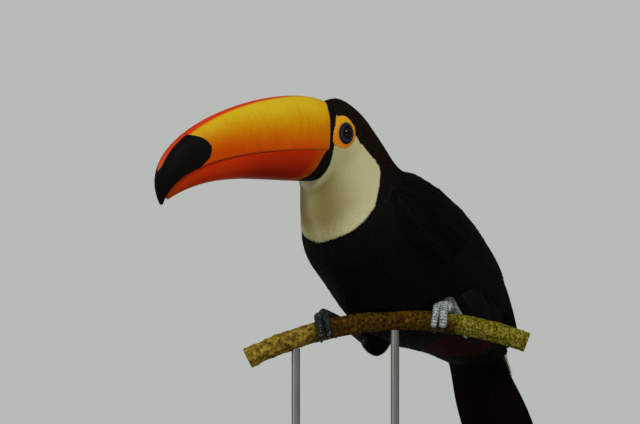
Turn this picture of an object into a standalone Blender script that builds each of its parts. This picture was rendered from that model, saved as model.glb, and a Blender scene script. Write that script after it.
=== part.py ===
"""A life-size toco toucan, modelled as a still display piece.

The bird perches on a short cut length of branch, which two rods hold over a
flat base.  Its body is one smooth loft from the base of the bill to the root
of the tail, parted by thin cuts into head, neck and trunk.  Wings, thighs,
tail, bill, eyes, feet and claws are solids of their own.  Sizes are in
centimetres unless a name ends in _M, and the scene is in metres with +Z up.
"""

import math

import bmesh
import bpy
from mathutils import Matrix, Vector

CM = 0.01
GAP = 0.03

# Stand.
BASE_LENGTH = 26.0
BASE_WIDTH = 18.0
BASE_HEIGHT = 1.8
BASE_CORNER = 2.5
BASE_EDGE = 0.25
ROD_RADIUS = 0.35
ROD_AT = (-9.5, -1.3)
PERCH_HEIGHT = 20.0

# Perch: a length of branch that arches gently and droops to both ends.
PERCH_RADIUS = 0.85
PERCH_START = -13.5
PERCH_END = 9.6
PERCH_CREST = -0.4
PERCH_DROOP = 0.0185
PERCH_LIFT = 0.165

# Where the bird stands and how it turns.  Local +X points forward.
BIRD_AT = (-0.5, 4.6)
BODY_YAW = -133.0
HEAD_TURN = -10.0
HEAD_PIVOT = 4.5

# Bill, in the frame of the head: +X forward, +Z up from the gape.
BILL_AT = 5.55
GAPE_HEIGHT = 14.2
BILL_HALF_WIDTH = 2.25
CULMEN = ((-0.83, 3.99), (3.25, 5.88), (18.86, 1.64), (15.25, -4.73))
TOMIUM = ((0.05, -0.05), (3.11, 0.0), (15.40, 0.11), (15.25, -4.73))
GONYS = ((0.64, -2.55), (5.36, -2.64), (10.72, -1.54), (14.97, -4.30))

# Body sections from the base of the bill to the root of the tail: the dorsal
# point (forward, up), the ventral point (forward, up) and the half width.
SECTIONS = (
    ("bill base", (9.17, 18.20), (10.57, 11.65), 2.25),
    ("eye", (7.60, 18.45), (10.60, 10.90), 2.75),
    ("crown", (5.70, 17.35), (10.50, 10.30), 3.10),
    ("hind crown", (4.20, 15.65), (10.52, 9.70), 3.45),
    ("nape", (2.85, 13.95), (10.55, 9.00), 3.85),
    ("neck", (1.45, 12.75), (10.50, 8.10), 4.30),
    ("shoulder", (-0.62, 12.25), (10.25, 6.80), 5.00),
    ("breast", (-3.20, 10.45), (9.50, 4.85), 5.50),
    ("middle", (-5.60, 8.25), (7.58, 2.80), 5.50),
    ("belly", (-7.80, 5.90), (4.50, -0.25), 5.20),
    ("vent", (-9.50, 3.40), (0.80, -1.95), 4.50),
    ("rump", (-10.70, 0.80), (-3.40, -2.80), 3.40),
    ("tail root", (-11.20, -2.20), (-7.40, -3.90), 3.20),
)
SIDES = 24
CUT = 0.045
HEAD_END = 3.0
NECK_END = 6.0
TRUNK_END = 12.0
TWIST_FROM = 2.6
TWIST_TO = 6.5

# Wing, laid over the body surface: section number, upper and lower edge in
# degrees from the dorsal line, and the height of its outer and inner face.
WING = (
    (4.75, 66.0, 84.0, 0.15, -0.35),
    (5.20, 52.0, 98.0, 0.28, -0.35),
    (6.20, 42.0, 108.0, 0.42, -0.35),
    (7.30, 30.0, 108.0, 0.68, -0.35),
    (8.75, 15.0, 97.0, 0.95, -0.35),
    (10.00, 11.0, 80.0, 1.22, -0.30),
    (10.60, 13.0, 70.0, 1.38, -0.10),
    (11.20, 17.0, 62.0, 1.50, 0.25),
    (12.00, 26.0, 53.0, 1.55, 0.65),
    (12.40, 34.0, 46.0, 1.50, 0.95),
)

# Tail: a plate that widens to a rounded end.
TAIL_ROOT = (-9.25, -3.25)
TAIL_TIP = (-14.9, -14.4)
TAIL_ROOT_HALF = 3.3
TAIL_TIP_HALF = 4.35
TAIL_ROOT_THICK = 1.3
TAIL_TIP_THICK = 0.25

# Eyes, in the frame of the head.
EYE_RADIUS = 0.62
EYE_AT = (-1.35, 2.12, 1.33)

# Legs: where each foot stands along the branch, and its heel in the frame of the bird.
FEET = {
    "left": (2.55, (-3.39, 4.22, -1.10)),
    "right": (-7.05, (2.05, -2.80, -1.40)),
}
# Each toe: where it starts and ends along the branch, the angles that it wraps
# (0 on top, plus to the front) and its thickness.
TOES = {
    "left": (
        (-0.46, -0.66, -40.0, 104.0, 0.82),
        (-0.02, 0.10, -36.0, 100.0, 1.02),
        (-0.22, -0.45, 27.0, -122.0, 0.95),
        (0.36, 0.90, 23.0, -118.0, 0.90),
    ),
    "right": (
        (-0.16, -0.52, -30.0, 112.0, 0.78),
        (0.40, 0.24, -28.0, 106.0, 0.82),
        (-0.26, -0.52, 27.0, -122.0, 0.85),
        (0.30, 0.62, 23.0, -115.0, 0.85),
    ),
}
# The joint of toes and tarsus: along the branch, back, and over its top.
ANKLES = {"left": (0.42, 0.30, 0.72), "right": (0.10, 0.25, 0.48)}
ANKLE_RADIUS = {"left": 0.60, "right": 0.46}
THIGHS = {
    "left": ((-4.3, 4.3, -0.8), (-1.8, 4.7, 2.6), 1.65),
    "right": ((0.53, -2.62, -1.85), (0.4, -3.1, 3.6), 1.85),
}
SLEEVE_HALF = 1.0
SLEEVE_RADIUS = 1.8
TARSUS_RADIUS = 0.42
TOE_RADIUS = 0.42


def clear_scene():
    for obj in list(bpy.data.objects):
        bpy.data.objects.remove(obj, do_unlink=True)


def new_collection(name, hidden=False):
    collection = bpy.data.collections.new(name)
    bpy.context.scene.collection.children.link(collection)
    collection.hide_render = hidden
    return collection


clear_scene()
MODEL = new_collection("toco_toucan")
CUTTERS = new_collection("cutters", hidden=True)


def material(name, color, roughness, metallic=0.0):
    mat = bpy.data.materials.new(name)
    mat.use_nodes = True
    shader = mat.node_tree.nodes["Principled BSDF"]
    shader.inputs["Base Color"].default_value = (*color, 1.0)
    shader.inputs["Roughness"].default_value = roughness
    shader.inputs["Metallic"].default_value = metallic
    mat.diffuse_color = (*color, 1.0)
    return mat


BLACK_COAT = material("black_plumage", (0.012, 0.012, 0.014), 0.6)
WHITE_COAT = material("white_plumage", (0.78, 0.74, 0.58), 0.75)
BILL_ORANGE = material("bill_orange", (0.85, 0.30, 0.03), 0.35)
BILL_RED = material("bill_red", (0.62, 0.10, 0.02), 0.35)
EYE_DARK = material("eye_dark", (0.03, 0.012, 0.008), 0.06)
LEG_SKIN = material("leg_skin", (0.26, 0.31, 0.38), 0.6)
CLAW_HORN = material("claw_horn", (0.04, 0.04, 0.045), 0.4)
BARK = material("bark", (0.22, 0.14, 0.07), 0.85)
BASE_WOOD = material("base_wood", (0.10, 0.055, 0.03), 0.45)
ROD_STEEL = material("rod_steel", (0.55, 0.55, 0.56), 0.3, 1.0)


def empty(name, parent=None, location=(0, 0, 0), rotation=(0, 0, 0)):
    obj = bpy.data.objects.new(name, None)
    obj.empty_display_size = 0.02
    obj.parent = parent
    obj.location = [v * CM for v in location]
    obj.rotation_euler = [math.radians(v) for v in rotation]
    MODEL.objects.link(obj)
    return obj


def mesh_object(name, verts, faces, mat, parent=None, cutter=False, smooth=True):
    """An object from points in centimetres, with its faces turned outward."""
    mesh = bpy.data.meshes.new(name)
    mesh.from_pydata([[c * CM for c in v] for v in verts], [], faces)
    bm = bmesh.new()
    bm.from_mesh(mesh)
    bmesh.ops.recalc_face_normals(bm, faces=bm.faces)
    bm.to_mesh(mesh)
    bm.free()
    for polygon in mesh.polygons:
        polygon.use_smooth = smooth
    if mat:
        mesh.materials.append(mat)
    obj = bpy.data.objects.new(name, mesh)
    obj.parent = parent
    (CUTTERS if cutter else MODEL).objects.link(obj)
    if cutter:
        obj.hide_render = True
        obj.display_type = "WIRE"
    return obj


def boolean(obj, operation, other):
    modifier = obj.modifiers.new(f"{operation.lower()} {other.name}", "BOOLEAN")
    modifier.operation = operation
    modifier.solver = "EXACT"
    modifier.object = other


def loft(rings):
    """Points and faces of a tube through the rings, closed by a fan at each end."""
    count = len(rings[0])
    verts = [point for ring in rings for point in ring]
    faces = []
    for i in range(len(rings) - 1):
        for j in range(count):
            k = (j + 1) % count
            a, b = i * count, (i + 1) * count
            faces.append((a + j, a + k, b + k))
            faces.append((a + j, b + k, b + j))
    for ring, start in ((rings[0], 0), (rings[-1], (len(rings) - 1) * count)):
        middle = [sum(p[axis] for p in ring) / count for axis in range(3)]
        verts.append(middle)
        centre = len(verts) - 1
        faces += [(start + j, start + (j + 1) % count, centre) for j in range(count)]
    return verts, faces


def lerp(a, b, t):
    return a + (b - a) * t


def smoothstep(low, high, x):
    t = min(max((x - low) / (high - low), 0.0), 1.0)
    return t * t * (3 - 2 * t)


def bezier(points, t):
    """A point of a plane cubic curve."""
    weights = ((1 - t) ** 3, 3 * t * (1 - t) ** 2, 3 * t * t * (1 - t), t**3)
    return tuple(sum(w * p[i] for w, p in zip(weights, points)) for i in (0, 1))


def spline(values, t):
    """Catmull-Rom through evenly spaced values, carried straight on past the last."""
    last = len(values) - 1
    if t > last:
        return values[last] + (values[last] - values[last - 1]) * (t - last)
    i = min(int(t), last - 1)
    f = t - i
    p1, p2 = values[i], values[i + 1]
    p0 = values[i - 1] if i else 2 * p1 - p2
    p3 = values[i + 2] if i + 2 <= last else 2 * p2 - p1
    a = 2 * p1
    b = p2 - p0
    c = 2 * p0 - 5 * p1 + 4 * p2 - p3
    d = 3 * p1 - p0 - 3 * p2 + p3
    return 0.5 * (a + b * f + c * f * f + d * f**3)


def table(rows, key):
    """The columns of a table, joined smoothly over its first column."""
    keys = [row[0] for row in rows]
    i = 0
    while i < len(keys) - 2 and key > keys[i + 1]:
        i += 1
    t = i + (key - keys[i]) / (keys[i + 1] - keys[i])
    return [spline([row[c] for row in rows], t) for c in range(1, len(rows[0]))]


def turned(point, station):
    """The turn of the head about the neck, which fades out at the shoulders."""
    angle = math.radians(HEAD_TURN) * (1 - smoothstep(TWIST_FROM, TWIST_TO, station))
    x, y = point[0] - HEAD_PIVOT, point[1]
    c, s = math.cos(angle), math.sin(angle)
    return Vector((HEAD_PIVOT + c * x - s * y, s * x + c * y, point[2]))


def body_point(station, angle, out=0.0):
    """A point of the body surface, or one at a distance outside it.

    The angle runs from 0 on the dorsal line through 90 degrees on the left.
    """
    top = [spline([row[1][i] for row in SECTIONS], station) for i in (0, 1)]
    low = [spline([row[2][i] for row in SECTIONS], station) for i in (0, 1)]
    half = spline([row[3] for row in SECTIONS], station)
    c, s = math.cos(angle), math.sin(angle)
    depth = math.hypot(top[0] - low[0], top[1] - low[1]) / 2
    grow = 1 + out / depth
    full = 0.94 * s + 0.06 * s * abs(s) - 0.07 * s * c
    x = (top[0] + low[0]) / 2 + (top[0] - low[0]) / 2 * c * grow
    z = (top[1] + low[1]) / 2 + (top[1] - low[1]) / 2 * c * grow
    return turned((x, (half + out) * full, z), station)


def span(start, end, steps):
    return [lerp(start, end, i / steps) for i in range(steps + 1)]


HEAD_STATIONS = span(0.0, HEAD_END - CUT / 2, 8)
NECK_STATIONS = span(HEAD_END + CUT / 2, NECK_END - CUT / 2, 7)
TRUNK_STATIONS = span(NECK_END + CUT / 2, TRUNK_END, 13)


def body_loft(stations, out=0.0):
    rings = []
    for station in stations:
        rings.append(
            [body_point(station, 2 * math.pi * j / SIDES, out) for j in range(SIDES)]
        )
    return loft(rings)


def heading(path, i):
    """The direction of a path at a point, to second order at its ends too."""
    last = len(path) - 1
    if last < 2:
        return (Vector(path[last]) - Vector(path[0])).normalized()
    if i == 0:
        way = -3 * Vector(path[0]) + 4 * Vector(path[1]) - Vector(path[2])
    elif i == last:
        way = 3 * Vector(path[i]) - 4 * Vector(path[i - 1]) + Vector(path[i - 2])
    else:
        way = Vector(path[i + 1]) - Vector(path[i - 1])
    return way.normalized()


def tube(path, radii, sides, flat=1.0):
    """A tube along a path, with the sideways axis kept level where it can be."""
    rings = []
    for i, point in enumerate(path):
        along = heading(path, i)
        side = along.cross(Vector((0, 0, 1)))
        if side.length < 1e-3:
            side = Vector((0, 1, 0))
        side.normalize()
        up = side.cross(along)
        ring = []
        for j in range(sides):
            turn = 2 * math.pi * j / sides
            offset = side * math.cos(turn) + up * math.sin(turn) * flat
            ring.append(Vector(point) + offset * radii[i])
        rings.append(ring)
    return loft(rings)


def ellipsoid(centre, radii, axis, rings=10, sides=16):
    """An ellipsoid whose first radius lies along the axis."""
    along = Vector(axis).normalized()
    turn = Vector((1, 0, 0)).rotation_difference(along).to_matrix()
    loops = []
    for i in range(rings + 1):
        pole = math.pi * (0.04 + 0.92 * i / rings)
        loop = []
        for j in range(sides):
            a = 2 * math.pi * j / sides
            local = Vector(
                (
                    -math.cos(pole) * radii[0],
                    math.sin(pole) * math.cos(a) * radii[1],
                    math.sin(pole) * math.sin(a) * radii[2],
                )
            )
            loop.append(Vector(centre) + turn @ local)
        loops.append(loop)
    return loft(loops)


def perch_z(x):
    return PERCH_LIFT - PERCH_DROOP * (x - PERCH_CREST) ** 2


def perch_loft(out=0.0, steps=17, sides=16, extra=0.0):
    start, end = PERCH_START - extra, PERCH_END + extra
    path = []
    radii = []
    for i in range(steps + 1):
        x = lerp(start, end, i / steps)
        path.append((x, 0.0, perch_z(x)))
        radii.append(PERCH_RADIUS + out)
    return tube(path, radii, sides)


def build_stand():
    corners = 4
    outline = []
    for quadrant, (sx, sy) in enumerate(((1, 1), (-1, 1), (-1, -1), (1, -1))):
        for k in range(corners + 1):
            turn = math.pi / 2 * (quadrant + k / corners)
            cx = sx * (BASE_LENGTH / 2 - BASE_CORNER)
            cy = sy * (BASE_WIDTH / 2 - BASE_CORNER)
            outline.append((cx, cy, math.cos(turn), math.sin(turn)))
    levels = (
        (0.0, -BASE_EDGE * 0.5),
        (BASE_EDGE * 0.5, 0.0),
        (BASE_HEIGHT - BASE_EDGE, 0.0),
        (BASE_HEIGHT - BASE_EDGE * 0.3, -BASE_EDGE * 0.3),
        (BASE_HEIGHT, -BASE_EDGE),
    )
    rings = []
    for z, inset in levels:
        r = BASE_CORNER + inset
        rings.append([(cx + c * r, cy + s * r, z) for cx, cy, c, s in outline])
    verts, faces = loft(rings)
    mesh_object("stand_base", verts, faces, BASE_WOOD, smooth=False)
    for number, x in enumerate(ROD_AT, start=1):
        path = [(x, 0, BASE_HEIGHT + GAP), (x, 0, PERCH_HEIGHT + perch_z(x))]
        verts, faces = tube(path, (ROD_RADIUS, ROD_RADIUS), 20)
        rod = mesh_object(f"stand_rod_{number}", verts, faces, ROD_STEEL)
        boolean(rod, "DIFFERENCE", PERCH_CUTTER)


def build_perch():
    verts, faces = perch_loft()
    mesh_object("perch", verts, faces, BARK, PERCH_FRAME)


def build_body():
    parts = (
        ("head", HEAD_STATIONS, WHITE_COAT),
        ("neck", NECK_STATIONS, WHITE_COAT),
        ("trunk", TRUNK_STATIONS, BLACK_COAT),
    )
    for name, stations, mat in parts:
        verts, faces = body_loft(stations)
        obj = mesh_object(name, verts, faces, mat, BIRD)
        if name == "head":
            for side in ("left", "right"):
                boolean(obj, "DIFFERENCE", bpy.data.objects[f"socket_{side}"])
        if name == "trunk":
            boolean(obj, "DIFFERENCE", PERCH_CUTTER)
            boolean(obj, "DIFFERENCE", front_room())
            boolean(obj, "DIFFERENCE", rod_room())
            cut_feet(obj)


def build_eyes():
    for side, sign in (("left", 1), ("right", -1)):
        centre = (EYE_AT[0], sign * EYE_AT[1], EYE_AT[2])
        radius = EYE_RADIUS
        verts, faces = ellipsoid(centre, (radius,) * 3, (0, sign, 0), 6, 12)
        mesh_object(f"eye_{side}", verts, faces, EYE_DARK, HEAD_FRAME)
        radius += GAP * 1.5
        verts, faces = ellipsoid(centre, (radius,) * 3, (0, sign, 0), 6, 12)
        mesh_object(f"socket_{side}", verts, faces, None, HEAD_FRAME, cutter=True)


def bill_half_width(s):
    return BILL_HALF_WIDTH * (1 - s**2.6) ** 0.9 + 0.06


def power(value, exponent):
    return math.copysign(abs(value) ** exponent, value)


def mandible(edge, ridge, reach, width, shape, steps, arc):
    """Half-round sections between the cutting edge and the ridge of a mandible."""
    rings = []
    for i in range(steps + 1):
        s = 1 - (1 - i / steps) ** 1.35
        s *= reach
        e = edge(s)
        r = bezier(ridge, s)
        half = width * bill_half_width(s)
        ring = []
        for j in range(arc + 1):
            a = math.pi * (j / arc - 0.5)
            side = half * power(math.sin(a), shape)
            rise = math.cos(a) ** 0.92 if 0 < j < arc else 0.0
            ring.append((lerp(e[0], r[0], rise), side, lerp(e[1], r[1], rise)))
        for j in range(1, 4):
            side = half * (1 - j / 2)
            ring.append((e[0], side, e[1]))
        rings.append(ring)
    return loft(rings)


def build_bill():
    def upper_edge(s):
        return bezier(TOMIUM, s)

    def lower_edge(s):
        x, z = bezier(TOMIUM, s * 0.93)
        return (x - GAP * s, z - GAP * 1.2)

    pieces = (
        ("bill_upper", upper_edge, CULMEN, 0.985, 1.0, 0.85, BILL_ORANGE),
        ("bill_lower", lower_edge, GONYS, 0.975, 0.95, 0.75, BILL_RED),
    )
    for name, edge, ridge, reach, width, shape, mat in pieces:
        verts, faces = mandible(edge, ridge, reach, width, shape, 19, 12)
        mesh_object(name, verts, faces, mat, HEAD_FRAME)


def wing_point(u, v, outer):
    """A point of the wing over the body: u runs to the tip and v to the lower edge."""
    station = lerp(WING[0][0], WING[-1][0], u)
    upper, lower, top, under = table(WING, station)
    angle = math.radians(lerp(upper, lower, (v + 1) / 2))
    rim = math.sqrt(max(0.0, 1 - v * v)) ** 0.7
    edge = max(0.0, under) + 0.12
    height = top + 0.12 if outer else under + 0.12
    return body_point(station, angle, lerp(edge, height, rim))


def build_wings():
    steps = 17
    across = 9
    for side, sign in (("left", 1), ("right", -1)):
        rings = []
        for i in range(steps + 1):
            ring = []
            for j in range(across + 1):
                v = -math.cos(math.pi * j / across)
                ring.append(wing_point(i / steps, v, True))
            for j in range(across - 1, 0, -1):
                v = -math.cos(math.pi * j / across)
                ring.append(wing_point(i / steps, v, False))
            rings.append([(p[0], sign * p[1], p[2]) for p in ring])
        verts, faces = loft(rings)
        obj = mesh_object(f"wing_{side}", verts, faces, BLACK_COAT, BIRD)
        boolean(obj, "DIFFERENCE", BODY_CUTTER)


def build_tail():
    steps = 11
    sides = 16
    rings = []
    root = Vector((TAIL_ROOT[0], 0, TAIL_ROOT[1]))
    tip = Vector((TAIL_TIP[0], 0, TAIL_TIP[1]))
    along = (tip - root).normalized()
    up = along.cross(Vector((0, 1, 0)))
    for i in range(steps + 1):
        t = 1 - (1 - i / steps) ** 1.4
        rounding = math.sqrt(max(0.0, 1 - max(0.0, (t - 0.72) / 0.285) ** 2))
        half = lerp(TAIL_ROOT_HALF, TAIL_TIP_HALF, t) * max(rounding, 0.18)
        thick = lerp(TAIL_ROOT_THICK, TAIL_TIP_THICK, t**0.6)
        centre = root.lerp(tip, t)
        ring = []
        for j in range(sides):
            a = 2 * math.pi * j / sides
            ring.append(
                centre
                + Vector((0, 1, 0)) * half * power(math.cos(a), 0.8)
                + up * thick * power(math.sin(a), 0.8)
            )
        rings.append(ring)
    verts, faces = loft(rings)
    obj = mesh_object("tail", verts, faces, BLACK_COAT, BIRD)
    boolean(obj, "DIFFERENCE", BODY_CUTTER)
    boolean(obj, "DIFFERENCE", WING_CUTTERS["left"])
    boolean(obj, "DIFFERENCE", WING_CUTTERS["right"])


def heel_path(side):
    """The tarsus from the heel to the foot, in the frame of the foot."""
    frame = FOOT_FRAMES[side]
    heel = Vector(FEET[side][1]) * CM
    low = (frame.matrix_world.inverted() @ BIRD.matrix_world @ heel) / CM
    along, back, over = ANKLES[side]
    ankle = Vector((along, back, PERCH_RADIUS + over))
    middle = (low + ankle) / 2 + Vector((0, 0, 0.25))
    return (low, middle.lerp(low, 0.35), middle.lerp(ankle, 0.35), ankle)


def foot_cutters():
    """The room that each foot and its tarsus take out of the plumage."""
    for side, frame in FOOT_FRAMES.items():
        path = ((-SLEEVE_HALF, 0, 0), (SLEEVE_HALF, 0, 0))
        mesh_object(
            f"sleeve_{side}", *tube(path, (SLEEVE_RADIUS,) * 2, 16), None, frame, cutter=True
        )
        radii = [TARSUS_RADIUS * 1.3 + GAP] * 4
        mesh_object(
            f"leg_room_{side}", *tube(heel_path(side), radii, 10), None, frame, cutter=True
        )


def front_room():
    """The room in front of the perch, which the plumage doesn't hang over."""
    rings = []
    for i in range(13):
        x = lerp(PERCH_START - 1, PERCH_END + 1, i / 12)
        reach = PERCH_RADIUS + GAP
        low, high = perch_z(x) - reach, perch_z(x) + reach
        rings.append([(x, 0, low), (x, 0, high), (x, -8, high), (x, -8, low)])
    return mesh_object("front_room", *loft(rings), None, PERCH_FRAME, cutter=True)


def rod_room():
    """The second rod grown by the gap, to clear the plumage under the perch."""
    x = ROD_AT[1]
    path = ((x, 0, -4.0), (x, 0, perch_z(x)))
    radii = (ROD_RADIUS + GAP * 2,) * 2
    return mesh_object("rod_room", *tube(path, radii, 20), None, PERCH_FRAME, cutter=True)


def cut_feet(obj, sides=("left", "right")):
    for side in sides:
        boolean(obj, "DIFFERENCE", bpy.data.objects[f"sleeve_{side}"])
        boolean(obj, "DIFFERENCE", bpy.data.objects[f"leg_room_{side}"])


def build_thighs():
    for side, (heel, hip, radius) in THIGHS.items():
        low, high = Vector(heel), Vector(hip)
        middle = (low + high) / 2
        length = (high - low).length / 2 + 1.2
        verts, faces = ellipsoid(middle, (length, radius, radius), high - low, 10, 14)
        obj = mesh_object(f"thigh_{side}", verts, faces, BLACK_COAT, BIRD)
        boolean(obj, "DIFFERENCE", BODY_CUTTER)
        boolean(obj, "DIFFERENCE", PERCH_CUTTER)
        boolean(obj, "DIFFERENCE", WING_CUTTERS[side])
        cut_feet(obj, (side,))


def toe(x0, x1, start, end, radius, steps=7, sides=7):
    """A toe that wraps the perch, tapering a little: angles from the top, plus to the front."""
    path = []
    radii = []
    for i in range(steps + 1):
        t = i / steps
        a = math.radians(lerp(start, end, t))
        r = radius * lerp(1.05, 0.8, t)
        reach = PERCH_RADIUS + GAP + r * 0.93
        path.append((lerp(x0, x1, t), -math.sin(a) * reach, math.cos(a) * reach))
        radii.append(r)
    return path, radii, sides


def foot_frame(side):
    """A frame on the axis of the perch, level with the slope of the branch."""
    x = FEET[side][0]
    tilt = math.degrees(math.atan(-2 * PERCH_DROOP * (x - PERCH_CREST)))
    return empty(f"foot_frame_{side}", PERCH_FRAME, (x, 0, perch_z(x)), (0, -tilt, 0))


def build_foot(side):
    """One foot on the perch, its tarsus up to the heel, and four claws."""
    frame = FOOT_FRAMES[side]
    along, back, over = ANKLES[side]
    joint = ANKLE_RADIUS[side]
    radii = [TARSUS_RADIUS * 1.1, TARSUS_RADIUS * 0.95, TARSUS_RADIUS, joint]
    verts, faces = tube(heel_path(side), radii, 10)
    foot = mesh_object(f"foot_{side}", verts, faces, LEG_SKIN, frame)
    centre = (along / 2, back / 2, PERCH_RADIUS + over * 0.62)
    pad = ellipsoid(centre, (0.66, 0.70, over * 0.62 + 0.03), (1, 0, 0), 8, 12)
    pad = mesh_object(f"pad_{side}", *pad, None, frame, cutter=True)
    boolean(foot, "UNION", pad)
    for number, (x0, x1, start, end, size) in enumerate(TOES[side], start=1):
        path, radii, sides = toe(x0, x1, start, end, TOE_RADIUS * size)
        part = mesh_object(
            f"toe_{side}_{number}", *tube(path, radii, sides), None, frame, cutter=True
        )
        boolean(foot, "UNION", part)
        drift = (x1 - x0) / (end - start)
        build_claw(f"claw_{side}_{number}", x1, drift, end, size, frame)
    boolean(foot, "DIFFERENCE", PERCH_CUTTER)


def build_claw(name, x, drift, end, size, frame):
    """A curved claw that carries on from the end of a toe."""
    sign = 1 if end > 0 else -1
    path = []
    radii = []
    for i in range(5):
        t = i / 4
        turn = sign * (4.0 + 34.0 * t)
        a = math.radians(end + turn)
        r = lerp(0.24 * size, 0.05, t**1.2)
        reach = PERCH_RADIUS + GAP + lerp(0.34 * size, 0.10, t)
        path.append((x + drift * turn, -math.sin(a) * reach, math.cos(a) * reach))
        radii.append(r)
    mesh_object(name, *tube(path, radii, 6), CLAW_HORN, frame)


PERCH_FRAME = empty("perch_frame", None, (0, 0, PERCH_HEIGHT))
BIRD = empty("bird_frame", PERCH_FRAME, (*BIRD_AT, 0), (0, 0, BODY_YAW))
HEAD_REACH = turned((HEAD_PIVOT + BILL_AT, 0, GAPE_HEIGHT), 0)
HEAD_FRAME = empty("head_frame", BIRD, HEAD_REACH, (0, 0, HEAD_TURN))
FOOT_FRAMES = {side: foot_frame(side) for side in FEET}
bpy.context.view_layer.update()

PERCH_CUTTER = mesh_object(
    "perch_cutter", *perch_loft(GAP, extra=1.0), None, PERCH_FRAME, cutter=True
)
BODY_CUTTER = mesh_object(
    "body_cutter",
    *body_loft(NECK_STATIONS + TRUNK_STATIONS + [TRUNK_END + 0.03], GAP * 1.2),
    None,
    BIRD,
    cutter=True,
)


def wing_cutters():
    """The wings grown by the gap, to part the tail and the thighs from them."""
    cutters = {}
    for side, sign in (("left", 1), ("right", -1)):
        rings = []
        for i in range(15):
            station = lerp(6.0, WING[-1][0] + 0.05, i / 14)
            upper, lower, top, under = table(WING, station)
            edge = max(0.0, under) + 0.12
            ring = []
            for face, steps in ((1, range(13)), (-1, range(11, 0, -1))):
                for j in steps:
                    v = -math.cos(math.pi * j / 12)
                    angle = math.radians(lerp(upper - 1, lower + 1, (v + 1) / 2))
                    rim = math.sqrt(max(0.0, 1 - v * v)) ** 0.7
                    height = (top if face > 0 else under) + 0.12
                    out = lerp(edge, height, rim) + face * GAP
                    ring.append(body_point(station, angle, out))
            rings.append([(p[0], sign * p[1], p[2]) for p in ring])
        cutters[side] = mesh_object(
            f"wing_cutter_{side}", *loft(rings), None, BIRD, cutter=True
        )
    return cutters


WING_CUTTERS = wing_cutters()
foot_cutters()
build_perch()
build_stand()
build_eyes()
build_body()
build_bill()
build_wings()
build_tail()
build_thighs()
for leg in FEET:
    build_foot(leg)
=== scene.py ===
"""Looks of the toco toucan display model: skin, plumage, bill, eyes, feet, perch and stand."""

import math
import bpy  # noqa: E402
import numpy as np  # noqa: E402
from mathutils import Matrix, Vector, noise  # noqa: E402
from mathutils.bvhtree import BVHTree  # noqa: E402
from mathutils.kdtree import KDTree  # noqa: E402


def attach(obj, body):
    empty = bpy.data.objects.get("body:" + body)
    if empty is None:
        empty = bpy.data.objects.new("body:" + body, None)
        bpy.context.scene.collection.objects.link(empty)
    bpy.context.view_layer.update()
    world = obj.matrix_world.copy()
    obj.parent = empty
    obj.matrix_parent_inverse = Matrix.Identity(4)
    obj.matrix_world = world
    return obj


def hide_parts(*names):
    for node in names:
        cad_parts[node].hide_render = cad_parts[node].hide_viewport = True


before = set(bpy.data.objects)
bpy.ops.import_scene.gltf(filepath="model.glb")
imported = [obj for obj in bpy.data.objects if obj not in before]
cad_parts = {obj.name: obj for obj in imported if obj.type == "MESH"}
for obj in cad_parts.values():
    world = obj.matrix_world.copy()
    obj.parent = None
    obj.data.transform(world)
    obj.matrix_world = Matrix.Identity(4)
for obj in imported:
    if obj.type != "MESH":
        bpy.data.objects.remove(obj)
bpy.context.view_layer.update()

RNG = np.random.default_rng(7)
CM = 0.01

# ---------------------------------------------------------------- dimensions
# Centimetres, the same named sizes as the solids.
PERCH_HEIGHT = 20.0
PERCH_RADIUS = 0.85
PERCH_START, PERCH_END = -13.5, 9.6
PERCH_CREST, PERCH_DROOP, PERCH_LIFT = -0.4, 0.0185, 0.165
BIRD_AT = (-0.5, 4.6)
BODY_YAW = math.radians(-133.0)
HEAD_TURN = math.radians(-10.0)
HEAD_PIVOT = 4.5
BILL_AT = 5.55
GAPE_HEIGHT = 14.2
BILL_HALF_WIDTH = 2.25
CULMEN = ((-0.83, 3.99), (3.25, 5.88), (18.86, 1.64), (15.25, -4.73))
TOMIUM = ((0.05, -0.05), (3.11, 0.0), (15.40, 0.11), (15.25, -4.73))
GONYS = ((0.64, -2.55), (5.36, -2.64), (10.72, -1.54), (14.97, -4.30))
SECTIONS = (
    ("bill base", (9.17, 18.20), (10.57, 11.65), 2.25),
    ("eye", (7.60, 18.45), (10.60, 10.90), 2.75),
    ("crown", (5.70, 17.35), (10.50, 10.30), 3.10),
    ("hind crown", (4.20, 15.65), (10.52, 9.70), 3.45),
    ("nape", (2.85, 13.95), (10.55, 9.00), 3.85),
    ("neck", (1.45, 12.75), (10.50, 8.10), 4.30),
    ("shoulder", (-0.62, 12.25), (10.25, 6.80), 5.00),
    ("breast", (-3.20, 10.45), (9.50, 4.85), 5.50),
    ("middle", (-5.60, 8.25), (7.58, 2.80), 5.50),
    ("belly", (-7.80, 5.90), (4.50, -0.25), 5.20),
    ("vent", (-9.50, 3.40), (0.80, -1.95), 4.50),
    ("rump", (-10.70, 0.80), (-3.40, -2.80), 3.40),
    ("tail root", (-11.20, -2.20), (-7.40, -3.90), 3.20),
)
TWIST_FROM, TWIST_TO = 2.6, 6.5
WING = (
    (4.75, 66.0, 84.0, 0.15, -0.35),
    (5.20, 52.0, 98.0, 0.28, -0.35),
    (6.20, 42.0, 108.0, 0.42, -0.35),
    (7.30, 30.0, 108.0, 0.68, -0.35),
    (8.75, 15.0, 97.0, 0.95, -0.35),
    (10.00, 11.0, 80.0, 1.22, -0.30),
    (10.60, 13.0, 70.0, 1.38, -0.10),
    (11.20, 17.0, 62.0, 1.50, 0.25),
    (12.00, 26.0, 53.0, 1.55, 0.65),
    (12.40, 34.0, 46.0, 1.50, 0.95),
)
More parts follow.
